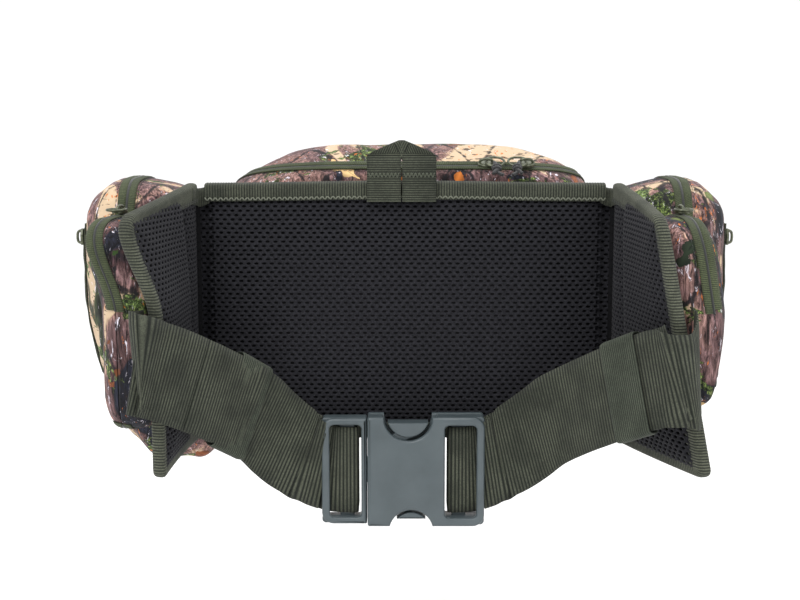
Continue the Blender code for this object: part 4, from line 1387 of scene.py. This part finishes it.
def buckle():
    """The side-release buckle, moulded in plates with rounded edges, its prongs showing in the notches."""
    middle = buckle_middle() * MM
    place = Matrix(((1, 0, 0, middle.x), (0, 0, 1, middle.y), (0, 1, 0, middle.z), (0, 0, 0, 1)))

    def plate(name, outlines, low, high, edge, body, node=None):
        piece = moulded(name, outlines, low, high, edge, place, PLASTIC, "buckle_plastic", body)
        if node:
            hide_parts(node)

    def window(side):
        near, far = side * WINDOW_FROM, side * (END - END_BAR)
        corners = [(near, -WINDOW_HALF_Z), (far, -WINDOW_HALF_Z), (far, WINDOW_HALF_Z), (near, WINDOW_HALF_Z)]
        return rounded_polygon([(u, v, WINDOW_CORNER) for u, v in corners])

    def claw(side, start, half_z):
        """The part behind the end bar: the two arms and what joins them."""
        near = side * WINDOW_FROM
        lower = [(start, -half_z, 1.0), (side * END, -half_z, CLAW_CORNER), (side * END, -WINDOW_HALF_Z, 1.0)]
        lower.append((near, -WINDOW_HALF_Z, 1.5))
        return rounded_polygon(lower + [(u, -v, r) for u, v, r in reversed(lower)])

    def bar(side, body):
        low, high = side * BAR_MIDDLE - BAR_HALF_X, side * BAR_MIDDLE + BAR_HALF_X
        outline = rounded_polygon([(low, -28, 1), (high, -28, 1), (high, 28, 1), (low, 28, 1)])
        plate(f"{body}_bar", [outline], BAR_Y - BAR_HALF_Y, BAR_Y + BAR_HALF_Y, 0.7, body)

    male_z, male_y = HALF_Z - 1.0, THICK / 2 - 2
    male_end = SEAM - 0.35
    outline = [(-END, -male_z, OUTER_CORNER), (male_end, -male_z, 0.8)]
    outline += [(male_end, male_z, 0.8), (-END, male_z, OUTER_CORNER)]
    front = [rounded_polygon(outline), window(-1)]
    plate("buckle_male_front", front, -male_y, END_BAR_BACK, 1.5, "left_belt", "buckle_male_frame")
    plate("buckle_male_back", [claw(-1, male_end, male_z)], -3.0, male_y, 0.7, "left_belt")
    bar(-1, "left_belt")
    tongue = rounded_polygon([(SEAM - 2, -7, 0.5), (8, -5.5, 2), (8, 5.5, 2), (SEAM - 2, 7, 0.5)])
    plate("buckle_tongue", [tongue], -3, 3, 0.8, "left_belt")

    def notch(centre, edge_z, up):
        """The corners of a round notch cut in from the body's top or bottom edge."""
        u, v, radius = centre
        reach = math.degrees(math.asin((edge_z - v) / radius))
        points = arc(u, v, radius, reach, -180 - reach) if up else arc(u, v, radius, 180 - reach, reach)
        first, last = points[0], points[-1]
        return [(first[0], first[1], 0)] + points[1:-1] + [(last[0], last[1], 0)]

    def body_outline(notched_end):
        corners = [(SEAM, -HALF_Z, 1.2)] + notch(LOW_NOTCH, -HALF_Z, False)
        corner = CLAW_CORNER if notched_end else OUTER_CORNER
        corners += [(END, -HALF_Z, corner)]
        if notched_end:
            corners += [(END, -WINDOW_HALF_Z, 1.0), (WINDOW_FROM, -WINDOW_HALF_Z, 1.5)]
            corners += [(WINDOW_FROM, WINDOW_HALF_Z, 1.5), (END, WINDOW_HALF_Z, 1.0)]
        corners += [(END, HALF_Z, corner)] + notch(TOP_NOTCH, HALF_Z, True) + [(SEAM, HALF_Z, 1.2)]
        return rounded_polygon(corners)

    half_y = THICK / 2
    plate(
        "buckle_housing_front", [body_outline(False), window(1)], -half_y, -3.4, 1.6, "right_belt",
        "buckle_female_housing",
    )
    plate("buckle_housing_back", [body_outline(True)], 3.4, half_y, 0.7, "right_belt")
    plate("buckle_housing_end", [claw(1, 19.0, HALF_Z - 0.3)], -4.5, 4.5, 0.8, "right_belt")
    bar(1, "right_belt")
    for number, sign in enumerate((-1, 1)):
        low, high = sorted((sign * 27.0, sign * (HALF_Z - 0.3)))
        near, far = SEAM + 0.2, -11.5
        wall = rounded_polygon([(near, low, 0.5), (far, low, 0.5), (far, high, 0.5), (near, high, 0.5)])
        plate(f"buckle_wall_{number}", [wall], -4.2, 4.2, 0.4, "right_belt")
    for name, sign, (u, v, radius), tip_z in (("upper", 1, TOP_NOTCH, 27.8), ("lower", -1, LOW_NOTCH, -27.6)):
        radius -= 1.7
        reach = math.degrees(math.asin((v - tip_z) / radius))
        ends = (-reach, reach - 180) if sign > 0 else (180 + reach, -reach)
        button = arc(u, v, radius, *ends)
        prong = f"buckle_{name}_prong"
        plate(f"{prong}_button", [rounded_polygon(button)], -5.2, 5.2, 0.8, f"{name}_prong", prong)
        spring = [(SEAM + 0.4, 10.2, 0.8), (-8, 13.5, 3), (6, 19.5, 3), (8, 22.5, 1)]
        spring += [(-2, 24.5, 2), (-9, 17.5, 3), (SEAM + 0.4, 13.8, 0.8)]
        outline = rounded_polygon([(a, sign * b, r) for a, b, r in spring])
        plate(f"{prong}_spring", [outline], -3.6, 3.6, 0.7, f"{name}_prong")


# --- padded panel and wings -------------------------------------------------------------------------------


def ring_offsets(outline, share):
    """An outline of (u, v) shrunk towards its middle line by a share of its half height."""
    points = np.array(outline)
    low, high = points.min(0), points.max(0)
    middle, size = (low + high) / 2, (high - low) / 2
    inset = share * min(size)
    shrunk = (points - middle) * (1 - inset / size)
    return middle + shrunk


def cushion(name, outline, place, front, back, crown_front, crown_back, materials, slot, body):
    """A padded slab: an outline in mm, its two face depths at the edge, and how far each face crowns."""
    shares = (0.0, 0.02, 0.06, 0.12, 0.2, 0.32, 0.5, 0.72, 0.94)
    points, faces, slots = [], [], []
    count = len(outline)
    levels = []
    rises = [1 - (1 - share) ** 3 for share in shares]
    tucks = [(1 - min(1, share * 12)) * (back - front) * 0.42 for share in shares]
    for share, rise, tuck in reversed(list(zip(shares, rises, tucks))):
        levels.append((share, front - crown_front * rise + tuck, 0))
    for share, rise, tuck in zip(shares, rises, tucks):
        levels.append((share, back + crown_back * rise - tuck, 1))
    for share, depth, _ in levels:
        for u, v in ring_offsets(outline, share):
            points.append(place(u, depth, v))
    for r in range(len(levels) - 1):
        for i in range(count):
            j = (i + 1) % count
            faces.append((r * count + i, r * count + j, (r + 1) * count + j, (r + 1) * count + i))
            slots.append(levels[r + 1][2])
    faces.append(list(range(count)))
    slots.append(0)
    faces.append(list(range((len(levels) - 1) * count, len(levels) * count))[::-1])
    slots.append(1)
    piece = new_piece(name, points, faces, materials[0], slot)
    piece.data.materials.append(materials[1])
    piece.data.polygons.foreach_set("material_index", slots)
    outward(piece)
    if body:
        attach(piece, body)
    return piece


HOLE_PITCH_U, HOLE_PITCH_V = 4.4, 2.5
HOLE_HALF_U, HOLE_HALF_V, HOLE_DEEP = 1.25, 0.72, 1.3


def knit(name, low, high, inside, place, body):
    """Air mesh: staggered oval holes through a soft raised knit, as real geometry.

    place(u, v, depth) gives a point in the row frame; inside(u, v) tells whether a hole's middle is kept.
    """
    edge = [(1, 0), (1, 1), (0, 1), (-1, 1), (-1, 0), (-1, -1), (0, -1), (1, -1)]
    points, faces, known, slots = [], [], {}, []

    def vertex(u, v, depth):
        key = (round(u, 2), round(v, 2), depth)
        if key not in known:
            known[key] = len(points)
            points.append(place(u, v, depth))
        return known[key]

    rows = int((high[1] - low[1]) / HOLE_PITCH_V)
    columns = int((high[0] - low[0]) / HOLE_PITCH_U) + 1
    for j in range(rows):
        v = low[1] + (j + 0.5) * HOLE_PITCH_V
        for i in range(columns):
            u = low[0] + (i + (0.25 if j % 2 else 0.75)) * HOLE_PITCH_U
            if not inside(u, v):
                continue
            outer = [vertex(u + x * HOLE_PITCH_U / 2, v + y * HOLE_PITCH_V / 2, -0.25) for x, y in edge]
            rings = []
            for size, depth in ((1.22, -0.12), (1.0, 0.25), (0.85, HOLE_DEEP)):
                ring = []
                for k in range(8):
                    x = HOLE_HALF_U * size * math.cos(math.pi * k / 4)
                    y = HOLE_HALF_V * size * math.sin(math.pi * k / 4)
                    ring.append(vertex(u + x, v + y, depth))
                rings.append(ring)
            for first, second, slot in zip([outer] + rings, rings, (0, 0, 1)):
                for k in range(8):
                    n = (k + 1) % 8
                    faces.append((first[k], first[n], second[n], second[k]))
                    slots.append(slot)
            faces.append(rings[2])
            slots.append(1)
    piece = new_piece(name, points, faces, AIR_MESH, "air_mesh", body)
    piece.data.materials.append(LINING)
    piece.data.polygons.foreach_set("material_index", slots)
    return piece


def rounded(low, high, radius, steps=6, fill=6):
    """A rounded rectangle as (u, v) points, with points along its straight sides too."""
    (u0, v0), (u1, v1) = low, high
    corners = ((u1 - radius, v0 + radius, -90), (u1 - radius, v1 - radius, 0))
    corners += ((u0 + radius, v1 - radius, 90), (u0 + radius, v0 + radius, 180))
    points = []
    for u, v, start in corners:
        bend = []
        for k in range(steps + 1):
            angle = math.radians(start + 90 * k / steps)
            bend.append((u + radius * math.cos(angle), v + radius * math.sin(angle)))
        if points:
            (last_u, last_v), (next_u, next_v) = points[-1], bend[0]
            for share in [k / fill for k in range(1, fill)]:
                points.append((last_u + (next_u - last_u) * share, last_v + (next_v - last_v) * share))
        points += bend
    return points


def back_panel():
    """The foam pad with its air mesh cover."""
    low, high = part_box("back_air_mesh")
    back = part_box("back_foam_pad")[1].y / MM
    half_x, z0, z1 = high.x / MM, low.z / MM, high.z / MM

    def place(u, depth, v):
        return Vector((u, depth, v)) * MM

    outline = rounded((-half_x, z0), (half_x, z1), 5.0)
    pad = cushion("back_pad", outline, place, 3.2, back, 3.4, 0.0, (LINING, LINING), "foam", "pack")
    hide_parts("back_foam_pad")

    def face(u, v, depth):
        across = min(1.0, (half_x - abs(u)) / 26.0)
        up = min(1.0, min(v - z0, z1 - v) / 26.0)
        rise = (1 - (1 - max(across, 0)) ** 3) * (1 - (1 - max(up, 0)) ** 3)
        return Vector((u, 3.0 - 3.6 * rise + depth, v)) * MM

    cover = knit(
        "back_air_mesh_cover", (-half_x + 1, z0 + 1), (half_x - 1, z1 - 1),
        lambda u, v: abs(u) < half_x - 3 and z0 + 3 < v < z1 - 3, face, "pack",
    )
    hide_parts("back_air_mesh")


BINDING_RIB = 0.16


def edge_binding(name, path, inward, across, half_thick, flange, pitch, material, slot, body):
    """Ribbed tape folded over an edge: path along the edge, inward and across directions at each point."""
    step = pitch * MM / 5
    points, at = resample(path, step)
    source = np.array([tuple(p) for p in path], float)
    lengths = np.r_[0, np.cumsum(np.linalg.norm(np.diff(source, axis=0), axis=1))]

    def spread(rows):
        rows = np.array([tuple(r) for r in rows], float)
        return unit(np.stack([np.interp(at, lengths, rows[:, k]) for k in range(3)], 1))

    inwards, acrosses = spread(inward), spread(across)
    reach = half_thick
    profile = [(flange, -reach), (flange * 0.6, -reach - 0.15), (flange * 0.25, -reach - 0.1)]
    profile += [(0.6, -reach), (-0.1, -reach * 0.8), (-0.5, -reach * 0.35), (-0.5, reach * 0.35)]
    profile += [(-0.1, reach * 0.8), (0.6, reach), (flange * 0.25, reach + 0.1), (flange, reach)]
    profile = np.array(profile)
    tangent = unit(np.gradient(profile, axis=0))
    outside = np.stack([tangent[:, 1], -tangent[:, 0]], 1)
    if outside[6][0] > 0:
        outside = -outside
    height = np.abs(np.sin(math.pi * at / (pitch * MM)))
    shape = profile[None] + outside[None] * (height * BINDING_RIB)[:, None, None]
    grid = points[:, None] + inwards[:, None] * shape[..., :1] * MM + acrosses[:, None] * shape[..., 1:] * MM
    columns = len(profile)
    index = np.arange(len(points) * columns).reshape(len(points), columns)
    faces = np.stack([index[:-1, :-1], index[1:, :-1], index[1:, 1:], index[:-1, 1:]], -1).reshape(-1, 4)
    piece = new_piece(name, grid.reshape(-1, 3), faces.tolist(), material, slot)
    # The rib height, which the ribbed materials paint as shade in the grooves and a highlight on the ribs.
    store = piece.data.attributes.new("rib", "FLOAT", "POINT")
    store.data.foreach_set("value", np.repeat(height, columns).astype(np.float32))
    thicken(piece, 0.5, 0.0)
    if body:
        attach(piece, body)
    return piece


def panel_bindings():
    """Grosgrain over the panel's top and bottom edges, sewn with two close rows of thread."""
    for node, sign in (("top_binding", 1), ("bottom_binding", -1)):
        low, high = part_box(node)
        edge_z = high.z if sign > 0 else low.z
        middle_y = (low.y + high.y) / 2
        half_thick = (high.y - low.y) / 2 / MM
        xs = np.linspace(low.x, high.x, 60)
        sag = [0.6 * MM * math.cos(x / high.x * math.pi) for x in xs]
        path = [(x, middle_y, edge_z + sign * (s - 0.4 * MM)) for x, s in zip(xs, sag)]
        piece = edge_binding(
            node + "_grosgrain", path, [(0, 0, -sign)] * len(path), [(0, 1, 0)] * len(path), half_thick, 9.2,
            1.5, PANEL_GROSGRAIN, "grosgrain", "pack",
        )
        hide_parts(node)
        count = int((high.x - low.x) / (1.5 * MM))
        run = []
        for k in range(count + 1):
            x = low.x + (high.x - low.x) * k / count
            inset = 6.9 + 1.9 * (k % 2) - 0.6 * math.cos(x / high.x * math.pi)
            run.append((x, low.y - 0.35 * MM, edge_z - sign * (0.4 + inset) * MM))
        runs = [(run[k:k + 2], (0, -1, 0)) for k in range(count)]
        stitches(node + "_stitching", runs, "pack", PALE_THREAD, 2.2, 0.05, 0.38)


CORNER_STEPS = 8


def wing_outline(start, end, high_root, low_root, high_tip, low_tip, corner):
    """A wing's outline as (a, z) in mm, closed at the seam to the panel."""
    points = []
    for k in range(6):
        share = k / 6
        points.append((start + (end - corner * 0.4 - start) * share, low_root + (low_tip - low_root) * share))
    sharp = corner * 0.4
    for centre_z, start_angle, radius in ((low_tip + sharp, -90, sharp), (high_tip - corner, 0, corner)):
        for k in range(CORNER_STEPS + 1):
            angle = math.radians(start_angle + 90 * k / CORNER_STEPS)
            points.append((end - radius + radius * math.cos(angle), centre_z + radius * math.sin(angle)))
        if start_angle == -90:
            for k in range(1, 8):
                share = k / 8
                points.append((end, low_tip + sharp + (high_tip - low_tip - sharp - corner) * share))
    shoulder = end - corner
    for k in range(1, 7):
        share = k / 6
        points.append((shoulder + (start - end + corner) * share, high_tip + (high_root - high_tip) * share))
    for k in range(1, 6):
        points.append((start, high_root + (low_root - high_root) * k / 6))
    return points


# In mm: where a wing starts and ends along its length, half its edge's thickness, and its flat gusset's end.
WING_SPAN = (4.0, 97.0)
EDGE_HALF = 3.0
GUSSET_END = 26.0


def wing_lean(side, z):
    """How far inwards, in mm, a worn wing's tip curls at a height in mm: not the same on both sides."""
    if side < 0:
        share = min(1.0, max(0.0, (58 - z) / 50))
        return 14.5 * share * share * (3 - 2 * share) - 1.5
    return 14.0 - 0.2 * (71 - z)


def curl_wing(side, name):
    """Bends all that is sewn to a wing inwards or outwards towards its tip."""
    hinge, along, _ = wing_axes(side, name)
    for piece in list(bpy.data.objects):
        if piece.type != "MESH" or not piece.name.startswith(f"{name}_wing") or piece.name in frame["nodes"]:
            continue
        matrix = piece.matrix_world.copy()
        back = matrix.inverted()
        for vertex in piece.data.vertices:
            point = matrix @ vertex.co
            share = min(1.05, max(0.0, (point - hinge).dot(along) / MM / WING_SPAN[1])) ** 1.5
            point.x -= side * wing_lean(side, point.z / MM) * share * MM
            vertex.co = back @ point
        piece.data.update()


def hip_wing(side, name):
    """A padded wing: air mesh inside, camouflage cloth outside, and ribbed binding round its free edges."""
    place = wing_place(side, name)
    foam_low, foam_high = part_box(f"{name}_wing_foam_pad")
    root_low, root_high = foam_low.z / MM, foam_high.z / MM
    start, end = WING_SPAN
    tip_high, tip_low = root_high - 10.0, root_low + 0.5
    outline = wing_outline(start, end, root_high, root_low, tip_high, tip_low, 10.0)
    pad = cushion(
        f"{name}_wing_pad", outline, place, 1.6 - EDGE_HALF, EDGE_HALF - 0.4, 5.2, 4.4, (LINING, CAMO),
        "camo_fabric", f"{name}_wing",
    )
    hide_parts(f"{name}_wing_foam_pad", f"{name}_wing_cloth")
    slope_high, slope_low = (tip_high - root_high) / (end - start), (tip_low - root_low) / (end - start)

    def margins(a, z):
        return min(end - a, root_high + slope_high * (a - start) - z, z - root_low - slope_low * (a - start))

    def face_depth(a, z):
        """The air mesh's depth: a flat gusset beside the panel, then the padded face."""
        rise = 1 - (1 - min(1.0, max(0.0, margins(a, z) / 30.0))) ** 3
        padded = min(1.0, max(0.0, (a - GUSSET_END) / 16.0))
        gusset = math.sin(math.pi * min(1.0, max(0.0, (a - start) / (GUSSET_END + 4 - start))))
        return 1.2 - EDGE_HALF - rise * (4.9 * (1 - (1 - padded) ** 3) + 1.8 * gusset)

    def face(a, z, depth):
        return place(a, face_depth(a, z) + depth, z)

    hinge, along, out = wing_axes(side, name)
    for vertex in pad.data.vertices:
        point = pad.matrix_world @ vertex.co - hinge
        a, n, z = point.dot(along) / MM, point.dot(out) / MM, point.z / MM
        floor = face_depth(a, z) + 1.0
        if n < floor and a < GUSSET_END + 30:
            vertex.co = pad.matrix_world.inverted() @ place(a, floor, z)

    cover = knit(
        f"{name}_wing_air_mesh_cover", (start, root_low), (end, root_high),
        lambda a, z: margins(a, z) > 3 and a > start + 2, face, f"{name}_wing",
    )
    if side < 0:
        cover.data.flip_normals()
    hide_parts(f"{name}_wing_air_mesh")

    loop = [(a, z) for a, z in outline if a > start + 0.5]
    loop = [(start + 1, root_low)] + loop[1:] + [(start + 1, root_high)]
    loop = np.array(loop)
    tangent = unit(np.gradient(loop, axis=0))
    inward = np.stack([-tangent[:, 1], tangent[:, 0]], 1)
    path = [place(a - i[0] * 0.6, 0, z - i[1] * 0.6) for (a, z), i in zip(loop, inward)]
    inwards = [along * float(i[0]) + Vector((0, 0, float(i[1]))) for i in inward]
    finish = (EDGE_HALF, 9.5, 1.5, GROSGRAIN, "grosgrain", f"{name}_wing")
    piece = edge_binding(f"{name}_wing_grosgrain", path, inwards, [out] * len(path), *finish)
    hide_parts(f"{name}_wing_binding")
    runs = []
    for inset in (7.4, 8.4):
        for sign in (-1, 1):
            n = sign * (EDGE_HALF + 0.4)
            run = [place(a + i[0] * inset, n, z + i[1] * inset) for (a, z), i in zip(loop, inward)]
            runs.append((run, out * sign))
    stitches(f"{name}_wing_stitching", runs, f"{name}_wing", DARK_THREAD, 2.6, 0.9, 0.24)
    wing_seam(side, name, root_high, root_low)


def wing_seam(side, name, root_high, root_low):
    """The soft valley of air mesh from the back panel to the wing, and the binding that crosses it."""
    panel_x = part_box("back_air_mesh")[1].x / MM
    place = wing_place(side, name)
    start = WING_SPAN[0]
    panel_points = ((-5, 2.6), (-1.5, 4.2), (1.5, 5.6))
    profile = [Vector((side * (panel_x + x), y, 0)) * MM for x, y in panel_points]
    profile += [place(start + a, n, 0) for a, n in ((-4, -1.6), (1, -2.2), (5, -2.6))]
    line = smooth_path(profile, 6)
    lengths = [0.0]
    for first, second in zip(line, line[1:]):
        lengths.append(lengths[-1] + (second - first).length / MM)

    def valley(u, v, depth):
        past = next((i for i, reach in enumerate(lengths) if reach > u), len(line))
        k = min(len(line) - 2, max(0, past - 1))
        share = (u - lengths[k]) / (lengths[k + 1] - lengths[k])
        along = (line[k + 1] - line[k]).normalized()
        inwards = Vector((along.y, -along.x, 0))
        if inwards.y > 0:
            inwards = -inwards
        return line[k].lerp(line[k + 1], share) - inwards * depth * MM + Vector((0, 0, v)) * MM

    piece = knit(
        f"{name}_valley", (0, root_low + 3), (lengths[-1], root_high - 3), lambda u, v: True, valley, None
    )
    backing = [valley(u, v, 1.9) for v in (root_low + 3, root_high - 3) for u in lengths[:-1]]
    count = len(lengths) - 1
    sheet = new_piece(
        f"{name}_valley_backing", backing, [(i, i + 1, count + i + 1, count + i) for i in range(count - 1)],
        LINING, "camo_fabric",
    )
    thicken(sheet, 0.8, 0.0)
    apply_modifiers(sheet)
    for cloth in (piece, sheet):
        tuple(profile[1])
        tuple(profile[3])
        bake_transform(cloth)
    for level, sign, label in ((root_high, 1, "top"), (root_low, -1, "bottom")):
        knots = []
        for x, y, drop in ((-4, 1.5, 0.2), (0.5, 3.2, 2.0), (5, 3.4, 2.6)):
            knots.append(Vector((side * (panel_x + x), y, level - sign * drop)))
        knots += [place(start + a, 0, level - sign * drop) / MM for a, drop in ((2, 1.4), (9, 0.6))]
        path = [p * MM for p in smooth_path(knots, 6)]
        across = []
        for k in range(len(path)):
            along = path[min(k + 1, len(path) - 1)] - path[max(k - 1, 0)]
            across.append(Vector((-along.y, along.x, 0)).normalized())
        finish = (3.2, 9.6, 1.5, PANEL_GROSGRAIN, "grosgrain", None)
        tape = edge_binding(f"{name}_corner_{label}", path, [(0, 0, -sign)] * len(path), across, *finish)
        apply_modifiers(tape)
        tuple(path[8])
        tuple(path[18])
        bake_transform(tape)


# --- stage, light and camera ------------------------------------------------------------------------------


PICTURE_WIDE, CAMERA_PIXELS, CAMERA_ELEVATION, CAMERA_DISTANCE = 800, 1365, 8.5, 0.780
CAMERA_RISE, CAMERA_ASIDE = 0.0057, -0.0029


def area_light(name, place, target, size, power):
    data = bpy.data.lights.new(name, "AREA")
    data.size, data.energy = size, power
    made = bpy.data.objects.new(name, data)
    made.location = place
    made.rotation_euler = (Vector(target) - Vector(place)).to_track_quat("-Z", "Y").to_euler()
    bpy.context.scene.collection.objects.link(made)


def studio():
    """A pale floor that turns up into a backdrop, soft light, and the camera."""
    floor_z = CAD_BOUNDS[0][2] - 0.10
    points, faces = [], []
    profile = [(-3.0, floor_z), (1.6, floor_z)]
    for k in range(1, 13):
        angle = math.pi / 2 * k / 12
        profile.append((1.6 + 1.2 * math.sin(angle), floor_z + 1.2 - 1.2 * math.cos(angle)))
    profile.append((2.8, floor_z + 4.0))
    for y, z in profile:
        points += [(-4.0, y, z), (4.0, y, z)]
    for k in range(len(profile) - 1):
        faces.append((2 * k, 2 * k + 1, 2 * k + 3, 2 * k + 2))
    pale = bpy.data.materials.new("studio_white")
    pale.use_nodes = True
    shader = pale.node_tree.nodes["Principled BSDF"]
    shader.inputs["Base Color"].default_value = (0.93, 0.93, 0.93, 1)
    shader.inputs["Roughness"].default_value = 0.9
    data = bpy.data.meshes.new("floor")
    data.from_pydata(points, [], faces)
    floor = bpy.data.objects.new("floor", data)
    floor.data.materials.append(pale)
    data.polygons.foreach_set("use_smooth", [True] * len(faces))
    bpy.context.scene.collection.objects.link(floor)

    world = bpy.data.worlds.new("studio")
    bpy.context.scene.world = world
    world.use_nodes = True
    world.node_tree.nodes["Background"].inputs["Color"].default_value = (1, 1, 1, 1)
    world.node_tree.nodes["Background"].inputs["Strength"].default_value = 0.85
    area_light("key", (-0.7, -1.3, 1.3), (0, 0, 0), 1.0, 26)
    area_light("fill", (1.2, -1.1, 0.5), (0, 0, 0), 1.4, 9)
    area_light("top", (0.1, 0.3, 1.6), (0, 0.03, 0), 1.2, 16)

    data = bpy.data.cameras.new("camera")
    data.sensor_width = 36.0
    data.lens = CAMERA_PIXELS * data.sensor_width / PICTURE_WIDE
    camera = bpy.data.objects.new("camera", data)
    elevation = math.radians(CAMERA_ELEVATION)
    up = Vector((0, math.sin(elevation), math.cos(elevation)))
    back = Vector((0, -math.cos(elevation), math.sin(elevation)))
    camera.location = back * CAMERA_DISTANCE + up * CAMERA_RISE + Vector((CAMERA_ASIDE, 0, 0))
    camera.rotation_euler = (math.pi / 2 - elevation, 0, 0)
    bpy.context.scene.collection.objects.link(camera)
    bpy.context.scene.camera = camera
    bpy.context.scene.view_settings.view_transform = "Standard"


def finish_cad_nodes():
    """The CAD nodes that still show get this script's materials."""
    by_slot = {
        "air_mesh": AIR_MESH, "foam": FOAM, "stiffener_plastic": PLASTIC, "camo_fabric": CAMO,
        "grosgrain": GROSGRAIN, "webbing": WEBBING, "elastic": ELASTIC, "zip_tape": TAPE, "zip_metal": METAL,
        "pull_cord": CORD, "buckle_plastic": PLASTIC,
    }
    for part in RECORD["subparts"]:
        node = frame["nodes"][part["node"]]
        for material_slot in node.material_slots:
            material_slot.material = by_slot[part["material_slot"]]


zip_pulls()
main_bag()
back_panel()
panel_bindings()
for side, name in SIDES:
    side_pouch(side, name)
    wing_pocket(side, name)
    hip_wing(side, name)
    curl_wing(side, name)
    belt(side, name)
handle()
buckle()
finish_cad_nodes()
studio()
